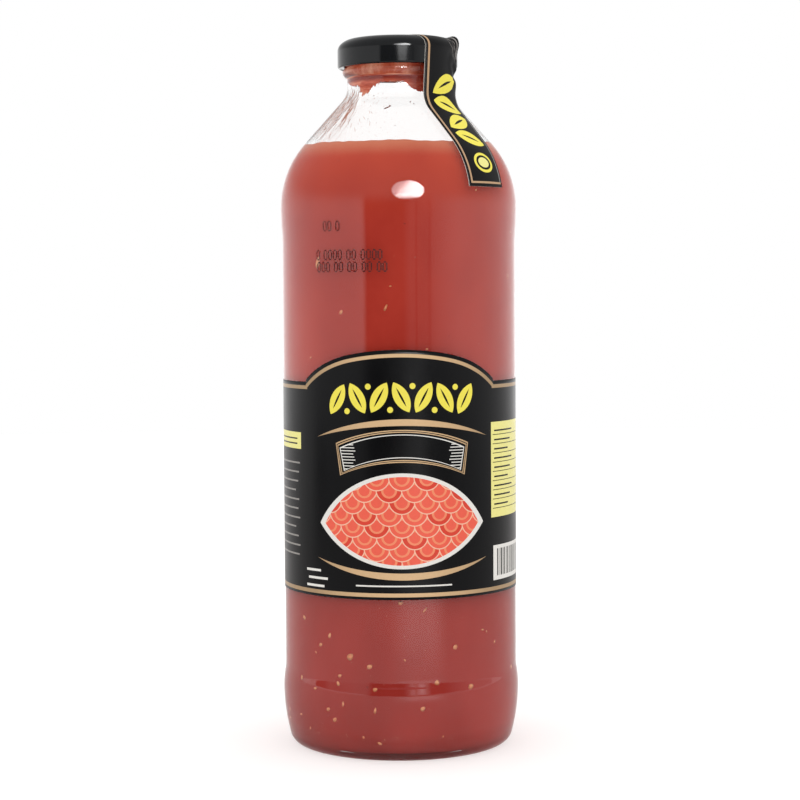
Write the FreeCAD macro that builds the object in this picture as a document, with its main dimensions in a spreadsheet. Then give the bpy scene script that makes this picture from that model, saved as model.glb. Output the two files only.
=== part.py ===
"""A tall glass bottle of crushed tomatoes: glass, filling, twist-off cap, gasket, label, seal strip.

Millimetres, +Z up. The origin is at the middle of the ring that the bottle stands on, the bottle's
axis is Z, and the middle of the label faces -Y. Every driving size is a cell of the sheet "Sizes".
"""

import FreeCAD, Part
import math
import os

import Sketcher

SIZES = [
    # glass body
    ("glass_height", 240.7, "from the ring it stands on to the sealing rim"),
    ("panel_radius", 40.05, "outer radius of the straight label panel"),
    ("wall", 2.5, "glass thickness of body, shoulder, cone and neck"),
    ("push_up", 3.2, "rise of the base's dome at the axis"),
    ("base_thickness", 2.6, "glass between the dome and the inner floor at the axis"),
    ("bearing_width", 1.4, "width of the flat ring that the bottle stands on"),
    ("heel_radius", 4.5, "round edge between the ring and the side"),
    ("lower_side_radius", 65.0, "curve of the side from the heel to the lower bulge"),
    ("lower_bulge_out", 0.75, "how far the lower bulge stands out of the panel"),
    ("lower_bulge_height", 20.0, "height of the lower bulge's crest"),
    ("lower_bulge_radius", 30.0, "curve above the lower bulge's crest"),
    ("panel_foot_radius", 16.0, "hollow curve from the lower bulge into the panel"),
    ("shoulder_bulge_out", 0.53, "how far the shoulder bulge stands out of the panel"),
    ("panel_head_radius", 95.0, "the two curves from the panel out to the shoulder bulge"),
    ("shoulder_radius", 33.0, "curve from the shoulder bulge to the cone"),
    ("cone_slope", 41.8, "degrees from the axis to the cone's side"),
    ("neck_fillet", 8.0, "hollow curve from the cone to the neck"),
    ("neck_drop", 14.1, "from the rim down to where the neck starts to widen"),
    ("inner_heel_radius", 6.5, "round corner between inner wall and inner floor"),
    ("floor_dome_radius", 170.0, "curve of the inner floor"),
    # finish of the glass
    ("finish_radius", 17.9, "outer radius of the wall under the cap"),
    ("neck_inset", 0.55, "how far the neck lies inside the finish"),
    ("bead_out", 1.1, "how far the transfer bead stands out of the finish"),
    ("bead_radius", 1.9, "round section of the bead"),
    ("bead_drop", 9.5, "from the rim down to the bead's middle"),
    ("bead_fillet", 1.0, "hollow curve under the bead"),
    ("rim_outer_fillet", 1.0, "outer edge of the rim"),
    ("rim_inner_fillet", 0.8, "inner edge of the rim"),
    ("thread_depth", 1.2, "how far a thread stands out of the finish"),
    ("thread_root", 1.7, "height of a thread at the wall"),
    ("thread_crest", 0.9, "height of a thread at its crest"),
    ("thread_pitch", 9.0, "rise of a thread in one turn"),
    ("thread_span", 60.0, "degrees that one thread goes round"),
    ("thread_count", 4, "threads on the glass and lugs on the cap"),
    # filling
    ("headspace", 35.0, "from the rim down to the level of the filling"),
    ("fill_gap", 0.05, "clearance between filling and glass"),
    # cap and gasket
    ("cap_height", 9.8, "whole height of the cap"),
    ("steel", 0.3, "thickness of the lacquered steel sheet"),
    ("cap_clearance", 1.25, "between a thread's crest and the skirt"),
    ("crown_radius", 5.46, "curve of the cap's highest ring"),
    ("edge_radius", 3.4, "curve from the crown into the skirt"),
    ("crown_angle", 45.0, "degrees up from level to where those two curves meet"),
    ("step_inset", 6.45, "from the skirt in to the step down to the panel"),
    ("panel_recess", 0.9, "depth of the cap's panel under the crown"),
    ("button_radius", 7.0, "safety button in the middle of the panel"),
    ("button_rise", 0.5, "rise of the button at the axis"),
    ("curl_radius", 0.65, "rolled edge at the bottom of the skirt"),
    ("lug_depth", 2.3, "how far a lug reaches in from the skirt's outside"),
    ("lug_thickness", 1.0, "height of a lug"),
    ("lug_rise", 0.25, "from the cap's lowest edge up to a lug"),
    ("lug_span", 24.0, "degrees that one lug goes round"),
    ("lug_play", 0.15, "clearance between a lug and the thread over it"),
    ("gasket_thickness", 1.47, "compound between the rim and the crown's highest ring"),
    ("gasket_width", 4.05, "width of the compound ring"),
    ("gasket_gap", 0.03, "clearance between compound and steel"),
    # paper
    ("paper", 0.15, "thickness of the label and of the strip"),
    ("paper_gap", 0.05, "clearance between paper and what it is stuck to"),
    ("label_bottom", 54.7, "height of the label's lower edge"),
    ("label_height", 71.6, "from there to the level part of its upper edge"),
    ("arch_rise", 10.9, "how far the arch in front rises over the level part"),
    ("arch_half_angle", 52.3, "degrees from the label's middle to the arch's end"),
    ("arch_crown_radius", 90.0, "flat middle curve of the arch"),
    ("arch_crown_half", 17.0, "half width of the middle curve"),
    ("lap_angle", 12.0, "degrees by which the label's ends overlap behind"),
    ("strip_width", 17.0, "width of the seal strip"),
    ("strip_azimuth", 51.6, "degrees from the label's middle round to the strip"),
    ("strip_lean", 2.8, "degrees by which the strip leans off the upright"),
    ("strip_start", 8.5, "from the axis out to the strip's end on the cap"),
    ("strip_drop", 49.9, "from the rim down to the strip's lower end"),
    ("strip_sector", 120.0, "degrees turned for the strip before its sides are cut"),
    ("bridge_radius", 10.0, "free hollow curve from the strip's hanging run onto the cone"),
]

MARGIN = 20.0  # how far cutting outlines reach past what they cut
FULL_TURN = 360.0
OVERLAP = 0.3  # how far an added shape is rooted in the wall that carries it

doc = FreeCAD.newDocument("tomato_bottle")
sizes = doc.addObject("Spreadsheet::Sheet", "Sizes")
for row, (alias, value, note) in enumerate(SIZES, start=1):
    sizes.set(f"A{row}", alias)
    sizes.set(f"B{row}", str(value))
    sizes.set(f"C{row}", note)
    sizes.setAlias(f"B{row}", alias)
doc.recompute()

size = {alias: float(sizes.get(alias)) for alias, value, note in SIZES}

# Lengths that several pieces share: as text for the document, and as numbers for a first drawing.
NECK = "Sizes.finish_radius - Sizes.neck_inset"
CAP_INNER = "Sizes.finish_radius + Sizes.thread_depth + Sizes.cap_clearance"
CAP_OUTER = f"{CAP_INNER} + Sizes.steel"
CAP_TOP = "Sizes.glass_height + Sizes.gasket_thickness + Sizes.gasket_gap + Sizes.steel"
CAP_BOTTOM = f"{CAP_TOP} - Sizes.cap_height"
CROWN_X = (
    f"{CAP_OUTER} - Sizes.edge_radius"
    " - (Sizes.crown_radius - Sizes.edge_radius) * cos(Sizes.crown_angle)"
)
CROWN_Y = f"{CAP_TOP} - Sizes.crown_radius"
LABEL_INNER = "Sizes.panel_radius + Sizes.paper_gap"
LABEL_TOP = "Sizes.label_bottom + Sizes.label_height"

neck = size["finish_radius"] - size["neck_inset"]
lower_bulge = size["panel_radius"] + size["lower_bulge_out"]
shoulder_bulge = size["panel_radius"] + size["shoulder_bulge_out"]
cap_inner = size["finish_radius"] + size["thread_depth"] + size["cap_clearance"]
cap_outer = cap_inner + size["steel"]
cap_top = size["glass_height"] + size["gasket_thickness"] + size["gasket_gap"] + size["steel"]
cap_bottom = cap_top - size["cap_height"]
label_inner = size["panel_radius"] + size["paper_gap"]
label_outer = label_inner + size["paper"]
label_top = size["label_bottom"] + size["label_height"]


def on_circle(centre, radius, angle):
    """The point of a circle at an angle in radians."""
    return (centre[0] + radius * math.cos(angle), centre[1] + radius * math.sin(angle))


def circle_height(centre, radius, x):
    """The height of a circle's upper half at a distance from the upright axis."""
    return centre[1] + math.sqrt(radius**2 - (x - centre[0]) ** 2)


crown_turn = math.radians(size["crown_angle"])
crown_spare = size["crown_radius"] - size["edge_radius"]
edge_x = cap_outer - size["edge_radius"]
crown_centre = (edge_x - crown_spare * math.cos(crown_turn), cap_top - size["crown_radius"])
edge_centre = on_circle(crown_centre, crown_spare, crown_turn)


def origin_plane(body, role):
    """The body's own origin plane of that role, such as XZ_Plane."""
    for feature in body.Origin.OriginFeatures:
        if feature.Role == role:
            return feature
    raise ValueError(role)


class Outline:
    """A closed outline on one of a body's origin planes, drawn end to end and tied to the sheet."""

    def __init__(self, body, name, plane="XZ_Plane"):
        self.sketch = body.newObject("Sketcher::SketchObject", name)
        self.sketch.AttachmentSupport = [(origin_plane(body, plane), "")]
        self.sketch.MapMode = "FlatFace"
        self.pen = None
        self.first = None
        self.last = None

    def start(self, x, y):
        """Begins a closed outline at a point."""
        self.pen = (x, y)
        self.first = None
        self.last = None

    def _join(self, index, begin, end, smooth):
        """Ties a new piece to the one before it. begin and end are its vertex numbers."""
        if self.last is None:
            self.first = (index, begin)
        else:
            kind = "Tangent" if smooth else "Coincident"
            self.sketch.addConstraint(Sketcher.Constraint(kind, *self.last, index, begin))
        self.last = (index, end)
        return index

    def line(self, x, y, smooth=False):
        """A straight piece from the pen to a point."""
        ends = [FreeCAD.Vector(*self.pen, 0), FreeCAD.Vector(x, y, 0)]
        index = self.sketch.addGeometry(Part.LineSegment(*ends), False)
        self.pen = (x, y)
        return self._join(index, 1, 2, smooth)

    def level(self, x, smooth=False):
        """A level line from the pen to a distance from the upright axis."""
        index = self.line(x, self.pen[1], smooth)
        self.rule("Horizontal", index)
        return index

    def upright(self, y, smooth=False):
        """An upright line from the pen to a height."""
        index = self.line(self.pen[0], y, smooth)
        self.rule("Vertical", index)
        return index

    def arc(self, x, y, centre, turn, smooth=True):
        """An arc from the pen to a point, round a centre, with turn "left" or "right"."""
        radius = math.dist(self.pen, centre)
        angles = [math.atan2(p[1] - centre[1], p[0] - centre[0]) for p in (self.pen, (x, y))]
        if turn == "right":
            angles.reverse()
        circle = Part.Circle(FreeCAD.Vector(*centre, 0), FreeCAD.Vector(0, 0, 1), radius)
        index = self.sketch.addGeometry(Part.ArcOfCircle(circle, *angles), False)
        self.pen = (x, y)
        begin, end = (1, 2) if turn == "left" else (2, 1)
        return self._join(index, begin, end, smooth)

    def close(self, smooth=False):
        """Ties the last piece to the first."""
        kind = "Tangent" if smooth else "Coincident"
        self.sketch.addConstraint(Sketcher.Constraint(kind, *self.last, *self.first))

    def rule(self, kind, *items):
        """A rule without a size, such as Horizontal or PointOnObject."""
        self.sketch.addConstraint(Sketcher.Constraint(kind, *items))

    def tie(self, name, expression, kind, *items):
        """A size bound to the sheet. The last item is its present value."""
        index = self.sketch.addConstraint(Sketcher.Constraint(kind, *items))
        self.sketch.renameConstraint(index, name)
        self.sketch.setExpression(f"Constraints.{name}", expression)

    def across(self, name, expression, vertex, value):
        """Ties a vertex's distance from the sketch's upright axis."""
        self.tie(name, expression, "DistanceX", -1, 1, *vertex, value)

    def up(self, name, expression, vertex, value):
        """Ties a vertex's height over the sketch's level axis."""
        self.tie(name, expression, "DistanceY", -1, 1, *vertex, value)

    def radius(self, name, expression, index, value):
        """Ties an arc's radius."""
        self.tie(name, expression, "Radius", index, value)


BEGIN = 1  # vertex numbers of a piece: a line's two ends, an arc's ends counterclockwise
END = 2
CENTRE = 3
UPRIGHT_AXIS = -2


def new_body(label):
    """An empty body whose label is the piece's name."""
    body = doc.addObject("PartDesign::Body", label)
    body.Label = label
    return body


def revolve(body, kind, name, sketch, angle=""):
    """Turns a sketch about its upright axis: all the way, or half of an angle to each side."""
    feature = body.newObject(f"PartDesign::{kind}", name)
    feature.Profile = (sketch, [""])
    feature.ReferenceAxis = (sketch, ["V_Axis"])
    feature.Angle = FULL_TURN
    if angle:
        feature.Midplane = True
        feature.setExpression("Angle", f"{angle} * 1 deg")
    return feature


def cut(body, name, sketch, both=False, reverse=False):
    """Cuts a sketch's outline away, through all of the body on one side or on both."""
    feature = body.newObject("PartDesign::Pocket", name)
    feature.Profile = (sketch, [""])
    feature.Type = "ThroughAll"
    feature.Midplane = both
    feature.Reversed = reverse
    return feature


def repeat_round(body, name, original, sketch):
    """Repeats a feature round the sketch's upright axis, once for each thread."""
    pattern = body.newObject("PartDesign::PolarPattern", name)
    pattern.Originals = [original]
    pattern.Axis = (sketch, ["V_Axis"])
    pattern.Angle = FULL_TURN
    pattern.setExpression("Occurrences", "Sizes.thread_count")
    body.Tip = pattern


# ---------------------------------------------------------------------------------------------
# Places on the bottle's side that glass, filling and strip share, for their first drawing.

slope = math.radians(size["cone_slope"])
neck_start = size["glass_height"] - size["neck_drop"]
bend_centre = (neck + size["neck_fillet"], neck_start)
cone_head = on_circle(bend_centre, size["neck_fillet"], math.pi + slope)


def cone_y(x, shift):
    """Height of a line parallel to the cone's outer side, moved outwards by a shift."""
    start = (cone_head[0] + shift * math.cos(slope), cone_head[1] + shift * math.sin(slope))
    return start[1] - (x - start[0]) / math.tan(slope)


def shoulder_arc(side, radius, shift):
    """Centre of the arc that joins an upright side to that line, and its touching point."""
    foot_x = side - radius * (1 - math.cos(slope))
    foot = (foot_x, cone_y(foot_x, shift))
    centre = (side - radius, foot[1] - radius * math.sin(slope))
    return centre, foot


def draw_cavity(outline, gap, gap_text):
    """The bottle's inner side from the pen, high in the bore, down to the middle of the floor."""
    wall = size["wall"] + gap
    wall_text = f"Sizes.wall{gap_text}"
    side = size["panel_radius"] - wall
    arc_radius = size["shoulder_radius"] - wall
    corner_radius = size["inner_heel_radius"] - gap
    dome_radius = size["floor_dome_radius"] + gap
    floor = size["push_up"] + size["base_thickness"] + gap

    arc_centre, foot = shoulder_arc(side, arc_radius, -wall)
    bend_end = on_circle(bend_centre, size["neck_fillet"] + wall, math.pi + slope)
    dome_centre = (0.0, floor - dome_radius)
    corner_x = side - corner_radius
    corner_centre = (corner_x, circle_height(dome_centre, dome_radius + corner_radius, corner_x))
    rise = math.atan2(corner_centre[1] - dome_centre[1], corner_x)

    radius = size["neck_fillet"] + wall
    bend = outline.arc(*bend_end, bend_centre, "left")
    outline.across("inner_bend_x", f"{NECK} + Sizes.neck_fillet", (bend, CENTRE), bend_centre[0])
    outline.up(
        "inner_bend_y", "Sizes.glass_height - Sizes.neck_drop", (bend, CENTRE), bend_centre[1]
    )
    outline.radius("inner_bend_radius", f"Sizes.neck_fillet + {wall_text}", bend, radius)
    cone = outline.line(*foot, smooth=True)
    outline.tie(
        "inner_slope",
        "(Sizes.cone_slope - 90) * 1 deg",
        "Angle",
        cone,
        slope - math.pi / 2,
    )
    shoulder = outline.arc(side, arc_centre[1], arc_centre, "right")
    outline.radius(
        "inner_shoulder_radius",
        f"Sizes.shoulder_radius - ({wall_text})",
        shoulder,
        arc_radius,
    )
    inner_side = outline.upright(corner_centre[1], smooth=True)
    outline.across(
        "inner_side", f"Sizes.panel_radius - ({wall_text})", (inner_side, END), side
    )
    corner = outline.arc(*on_circle(dome_centre, dome_radius, rise), corner_centre, "right")
    outline.radius(
        "inner_corner_radius", f"Sizes.inner_heel_radius - (0{gap_text})", corner, corner_radius
    )
    dome = outline.arc(0.0, floor, dome_centre, "left")
    outline.radius("dome_radius", f"Sizes.floor_dome_radius{gap_text}", dome, dome_radius)
    outline.rule("PointOnObject", dome, CENTRE, UPRIGHT_AXIS)
    outline.rule("PointOnObject", dome, END, UPRIGHT_AXIS)
    outline.up(
        "floor", f"Sizes.push_up + Sizes.base_thickness{gap_text}", (dome, END), floor
    )


# ---------------------------------------------------------------------------------------------
def make_bottle():
    """The glass: domed base, two bulges with the label panel between, cone, neck and finish."""
    body = new_body("glass_bottle")
    outline = Outline(body, "glass_section")

    # Underside: dome, flat ring, heel.
    side_centre = (lower_bulge - size["lower_side_radius"], size["lower_bulge_height"])
    reach = size["lower_side_radius"] - size["heel_radius"]
    drop = size["lower_bulge_height"] - size["heel_radius"]
    heel_centre = (side_centre[0] + math.sqrt(reach**2 - drop**2), size["heel_radius"])
    ring_inner = heel_centre[0] - size["bearing_width"]
    under_radius = (ring_inner**2 + size["push_up"] ** 2) / (2 * size["push_up"])
    outline.start(0.0, size["push_up"])
    under = outline.arc(ring_inner, 0.0, (0.0, size["push_up"] - under_radius), "right")
    outline.rule("PointOnObject", under, CENTRE, UPRIGHT_AXIS)
    outline.rule("PointOnObject", under, END, UPRIGHT_AXIS)
    outline.up("push_up", "Sizes.push_up", (under, END), size["push_up"])
    ring = outline.level(heel_centre[0])
    outline.up("ring_height", "0", (ring, BEGIN), 0.0)
    outline.tie("bearing_width", "Sizes.bearing_width", "DistanceX", ring, BEGIN, ring, END,
                size["bearing_width"])
    turn = -math.asin(drop / reach)
    heel = outline.arc(*on_circle(heel_centre, size["heel_radius"], turn), heel_centre, "left")
    outline.radius("heel_radius", "Sizes.heel_radius", heel, size["heel_radius"])

    # Lower bulge and its step into the panel.
    lower_side = outline.arc(lower_bulge, size["lower_bulge_height"], side_centre, "left")
    outline.radius(
        "lower_side_radius", "Sizes.lower_side_radius", lower_side, size["lower_side_radius"]
    )
    outline.rule("Horizontal", lower_side, CENTRE, lower_side, END)
    outline.across("lower_bulge", "Sizes.panel_radius + Sizes.lower_bulge_out",
                   (lower_side, END), lower_bulge)
    outline.up("lower_bulge_height", "Sizes.lower_bulge_height", (lower_side, END),
               size["lower_bulge_height"])
    both = size["lower_bulge_radius"] + size["panel_foot_radius"]
    crest_centre = (lower_bulge - size["lower_bulge_radius"], size["lower_bulge_height"])
    foot_x = size["panel_radius"] + size["panel_foot_radius"]
    foot_centre = (foot_x, circle_height(crest_centre, both, foot_x))
    angle = math.acos((foot_x - crest_centre[0]) / both)
    crest = outline.arc(
        *on_circle(crest_centre, size["lower_bulge_radius"], angle), crest_centre, "left"
    )
    outline.radius(
        "lower_bulge_radius", "Sizes.lower_bulge_radius", crest, size["lower_bulge_radius"]
    )
    foot = outline.arc(size["panel_radius"], foot_centre[1], foot_centre, "right")
    outline.radius("panel_foot_radius", "Sizes.panel_foot_radius", foot, size["panel_foot_radius"])

    # Panel, shoulder bulge, shoulder and cone.
    shoulder_centre, cone_foot = shoulder_arc(shoulder_bulge, size["shoulder_radius"], 0.0)
    head = size["panel_head_radius"]
    upper_centre = (shoulder_bulge - head, shoulder_centre[1])
    lower_x = size["panel_radius"] + head
    half_turn = math.acos((lower_x - upper_centre[0]) / (2 * head))
    lower_centre = (lower_x, upper_centre[1] - 2 * head * math.sin(half_turn))
    panel = outline.upright(lower_centre[1], smooth=True)
    outline.across("panel_radius", "Sizes.panel_radius", (panel, END), size["panel_radius"])
    out = outline.arc(*on_circle(upper_centre, head, -half_turn), lower_centre, "right")
    outline.radius("panel_out_radius", "Sizes.panel_head_radius", out, head)
    back = outline.arc(shoulder_bulge, shoulder_centre[1], upper_centre, "left")
    outline.radius("panel_back_radius", "Sizes.panel_head_radius", back, head)
    outline.rule("Horizontal", back, CENTRE, back, END)
    outline.across("shoulder_bulge", "Sizes.panel_radius + Sizes.shoulder_bulge_out",
                   (back, END), shoulder_bulge)
    shoulder = outline.arc(*cone_foot, shoulder_centre, "left")
    outline.radius("shoulder_radius", "Sizes.shoulder_radius", shoulder, size["shoulder_radius"])
    cone = outline.line(*cone_head, smooth=True)
    outline.tie("slope", "(90 + Sizes.cone_slope) * 1 deg", "Angle", cone, math.pi / 2 + slope)
    bend = outline.arc(neck, neck_start, bend_centre, "right")
    outline.across("bend_x", f"{NECK} + Sizes.neck_fillet", (bend, CENTRE), bend_centre[0])
    outline.up("bend_y", "Sizes.glass_height - Sizes.neck_drop", (bend, CENTRE), neck_start)
    outline.radius("bend_radius", "Sizes.neck_fillet", bend, size["neck_fillet"])

    # Transfer bead, finish and rim.
    bead_x = size["finish_radius"] + size["bead_out"] - size["bead_radius"]
    bead_centre = (bead_x, size["glass_height"] - size["bead_drop"])
    under_x = neck + size["bead_fillet"]
    span = size["bead_fillet"] + size["bead_radius"]
    under_angle = -math.acos((under_x - bead_x) / span)
    under_centre = on_circle(bead_centre, span, under_angle)
    outline.upright(under_centre[1], smooth=True)
    hollow = outline.arc(
        *on_circle(bead_centre, size["bead_radius"], under_angle), under_centre, "right"
    )
    outline.radius("bead_fillet", "Sizes.bead_fillet", hollow, size["bead_fillet"])
    wall_foot = circle_height(bead_centre, size["bead_radius"], size["finish_radius"])
    bead = outline.arc(size["finish_radius"], wall_foot, bead_centre, "left")
    outline.radius("bead_radius", "Sizes.bead_radius", bead, size["bead_radius"])
    outline.across("bead_x", "Sizes.finish_radius + Sizes.bead_out - Sizes.bead_radius",
                   (bead, CENTRE), bead_x)
    outline.up("bead_y", "Sizes.glass_height - Sizes.bead_drop", (bead, CENTRE), bead_centre[1])
    outer_y = size["glass_height"] - size["rim_outer_fillet"]
    finish = outline.upright(outer_y)
    outline.across("finish_radius", "Sizes.finish_radius", (finish, END), size["finish_radius"])
    outer_x = size["finish_radius"] - size["rim_outer_fillet"]
    outer = outline.arc(outer_x, size["glass_height"], (outer_x, outer_y), "left")
    outline.radius("rim_outer", "Sizes.rim_outer_fillet", outer, size["rim_outer_fillet"])
    bore = neck - size["wall"]
    inner_x = bore + size["rim_inner_fillet"]
    inner_y = size["glass_height"] - size["rim_inner_fillet"]
    rim = outline.level(inner_x, smooth=True)
    outline.up("rim_height", "Sizes.glass_height", (rim, END), size["glass_height"])
    inner = outline.arc(bore, inner_y, (inner_x, inner_y), "left")
    outline.radius("rim_inner", "Sizes.rim_inner_fillet", inner, size["rim_inner_fillet"])
    outline.upright(neck_start, smooth=True)
    draw_cavity(outline, 0.0, "")
    outline.line(0.0, size["push_up"])
    outline.close()
    revolve(body, "Revolution", "glass_turned", outline.sketch)
    return body


def make_threads(body):
    """Short rising threads on the finish, one over each of the cap's lugs."""
    foot = cap_bottom + size["lug_rise"] + size["lug_thickness"] + size["lug_play"]
    foot_text = f"{CAP_BOTTOM} + Sizes.lug_rise + Sizes.lug_thickness + Sizes.lug_play"
    root_x = size["finish_radius"] - OVERLAP
    crest_x = size["finish_radius"] + size["thread_depth"]
    crest_inset = (size["thread_root"] - size["thread_crest"]) / 2

    outline = Outline(body, "thread_section")
    outline.start(root_x, foot)
    lower = outline.line(crest_x, foot + crest_inset)
    crest = outline.upright(foot + crest_inset + size["thread_crest"])
    upper = outline.line(root_x, foot + size["thread_root"])
    outline.upright(foot)
    outline.close()
    outline.across("root_x", f"Sizes.finish_radius - {OVERLAP}", (lower, BEGIN), root_x)
    outline.up("foot", foot_text, (lower, BEGIN), foot)
    outline.across("crest_x", "Sizes.finish_radius + Sizes.thread_depth", (crest, BEGIN), crest_x)
    outline.up("crest_y", f"{foot_text} + (Sizes.thread_root - Sizes.thread_crest) / 2",
               (crest, BEGIN), foot + crest_inset)
    outline.tie("crest", "Sizes.thread_crest", "DistanceY", crest, BEGIN, crest, END,
                size["thread_crest"])
    outline.up("head", f"{foot_text} + Sizes.thread_root", (upper, END),
               foot + size["thread_root"])

    thread = body.newObject("PartDesign::AdditiveHelix", "thread")
    thread.Profile = (outline.sketch, [""])
    thread.ReferenceAxis = (outline.sketch, ["V_Axis"])
    thread.Mode = "pitch-turns-angle"
    thread.setExpression("Pitch", "Sizes.thread_pitch")
    thread.setExpression("Turns", "Sizes.thread_span / 360")
    repeat_round(body, "threads", thread, outline.sketch)


def make_filling():
    """The crushed tomatoes, which fill the bottle from its floor up to their level."""
    body = new_body("crushed_tomatoes")
    outline = Outline(body, "filling_section")
    gap = size["fill_gap"]
    bore = neck - size["wall"] - gap
    floor = size["push_up"] + size["base_thickness"] + gap
    outline.start(0.0, size["glass_height"])
    top = outline.level(bore)
    outline.up("top", "Sizes.glass_height", (top, BEGIN), size["glass_height"])
    outline.rule("PointOnObject", top, BEGIN, UPRIGHT_AXIS)
    outline.upright(neck_start)
    draw_cavity(outline, gap, " + Sizes.fill_gap")
    outline.line(0.0, size["glass_height"])
    outline.close()
    revolve(body, "Revolution", "filling_turned", outline.sketch)

    level = size["glass_height"] - size["headspace"]
    above = Outline(body, "above_level")
    above.start(0.0, level)
    surface = above.level(size["panel_radius"])
    right = above.upright(size["glass_height"] + MARGIN)
    above.level(0.0)
    above.upright(level)
    above.close()
    above.rule("PointOnObject", surface, BEGIN, UPRIGHT_AXIS)
    above.up("level", "Sizes.glass_height - Sizes.headspace", (surface, BEGIN), level)
    above.across("reach", "Sizes.panel_radius", (surface, END), size["panel_radius"])
    above.up("above", f"Sizes.glass_height + {MARGIN}", (right, END),
             size["glass_height"] + MARGIN)
    revolve(body, "Groove", "empty_above_level", above.sketch)


def make_cap():
    """The twist-off cap: panel with button, raised crown, skirt, rolled edge and lugs."""
    body = new_body("cap")
    outline = Outline(body, "cap_section")
    steel = size["steel"]
    panel = cap_top - size["panel_recess"]
    button_top = panel + size["button_rise"]
    button_arc = (size["button_radius"] ** 2 + size["button_rise"] ** 2) / (2 * size["button_rise"])
    button_centre = (0.0, button_top - button_arc)
    step = cap_outer - size["step_inset"]
    curl = size["curl_radius"]
    curl_centre = (cap_outer - curl, cap_bottom + curl)
    crown_inner = size["crown_radius"] - steel
    edge_inner = size["edge_radius"] - steel

    # Outside, from the middle of the button to the rolled edge.
    outline.start(0.0, button_top)
    button = outline.arc(size["button_radius"], panel, button_centre, "right")
    outline.rule("PointOnObject", button, CENTRE, UPRIGHT_AXIS)
    outline.rule("PointOnObject", button, END, UPRIGHT_AXIS)
    outline.up("button_top", f"{CAP_TOP} - Sizes.panel_recess + Sizes.button_rise",
               (button, END), button_top)
    outline.across("button_radius", "Sizes.button_radius", (button, BEGIN), size["button_radius"])
    floor = outline.level(step)
    outline.up("panel", f"{CAP_TOP} - Sizes.panel_recess", (floor, BEGIN), panel)
    outline.across("step", f"{CAP_OUTER} - Sizes.step_inset", (floor, END), step)
    outline.upright(circle_height(crown_centre, size["crown_radius"], step))
    crown = outline.arc(
        *on_circle(crown_centre, size["crown_radius"], crown_turn), crown_centre, "right", smooth=False
    )
    outline.radius("crown_radius", "Sizes.crown_radius", crown, size["crown_radius"])
    outline.across("crown_x", CROWN_X, (crown, CENTRE), crown_centre[0])
    outline.up("crown_y", CROWN_Y, (crown, CENTRE), crown_centre[1])
    edge = outline.arc(cap_outer, edge_centre[1], edge_centre, "right")
    outline.radius("edge_radius", "Sizes.edge_radius", edge, size["edge_radius"])
    skirt = outline.upright(curl_centre[1], smooth=True)
    outline.across("skirt", CAP_OUTER, (skirt, END), cap_outer)

    # Rolled edge, then back up and in along the inside, one sheet further in.
    curl_head = circle_height(curl_centre, curl, cap_inner)
    rolled = outline.arc(cap_inner, curl_head, curl_centre, "right")
    outline.radius("curl_radius", "Sizes.curl_radius", rolled, curl)
    outline.up("curl_y", f"{CAP_BOTTOM} + Sizes.curl_radius", (rolled, CENTRE), curl_centre[1])
    inside = outline.upright(edge_centre[1])
    outline.across("cap_inner", CAP_INNER, (inside, END), cap_inner)
    under_edge = outline.arc(
        *on_circle(edge_centre, edge_inner, crown_turn), edge_centre, "left"
    )
    outline.rule("Coincident", under_edge, CENTRE, edge, CENTRE)
    under_step = step + steel
    under_crown = outline.arc(
        under_step, circle_height(crown_centre, crown_inner, under_step), crown_centre, "left"
    )
    outline.rule("Coincident", under_crown, CENTRE, crown, CENTRE)
    drop = outline.upright(panel - steel)
    outline.across("under_step", f"{CAP_OUTER} - Sizes.step_inset + Sizes.steel", (drop, END),
                   under_step)
    under_button = button_arc - steel
    reach = math.sqrt(under_button**2 - (panel - steel - button_centre[1]) ** 2)
    under_panel = outline.level(reach)
    outline.up("under_panel", f"{CAP_TOP} - Sizes.panel_recess - Sizes.steel",
               (under_panel, END), panel - steel)
    dent = outline.arc(0.0, button_top - steel, button_centre, "left", smooth=False)
    outline.rule("Coincident", dent, CENTRE, button, CENTRE)
    axis = outline.upright(button_top)
    outline.tie("button_steel", "Sizes.steel", "DistanceY", axis, BEGIN, axis, END, steel)
    outline.close()
    revolve(body, "Revolution", "cap_turned", outline.sketch)

    # Lugs, bent in from the rolled edge under the glass threads.
    lug_bottom = cap_bottom + size["lug_rise"]
    lug_inner = cap_outer - size["lug_depth"]
    lug = Outline(body, "lug_section")
    lug.start(lug_inner, lug_bottom)
    under = lug.level(curl_centre[0])
    over = lug.upright(lug_bottom + size["lug_thickness"])
    lug.level(lug_inner)
    lug.upright(lug_bottom)
    lug.close()
    lug.across("lug_inner", f"{CAP_OUTER} - Sizes.lug_depth", (under, BEGIN), lug_inner)
    lug.across("lug_root", f"{CAP_OUTER} - Sizes.curl_radius", (under, END), curl_centre[0])
    lug.up("lug_bottom", f"{CAP_BOTTOM} + Sizes.lug_rise", (under, BEGIN), lug_bottom)
    lug.tie("lug_thickness", "Sizes.lug_thickness", "DistanceY", over, BEGIN, over, END,
            size["lug_thickness"])
    first = revolve(body, "Revolution", "lug", lug.sketch, "Sizes.lug_span")
    repeat_round(body, "lugs", first, lug.sketch)


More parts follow.
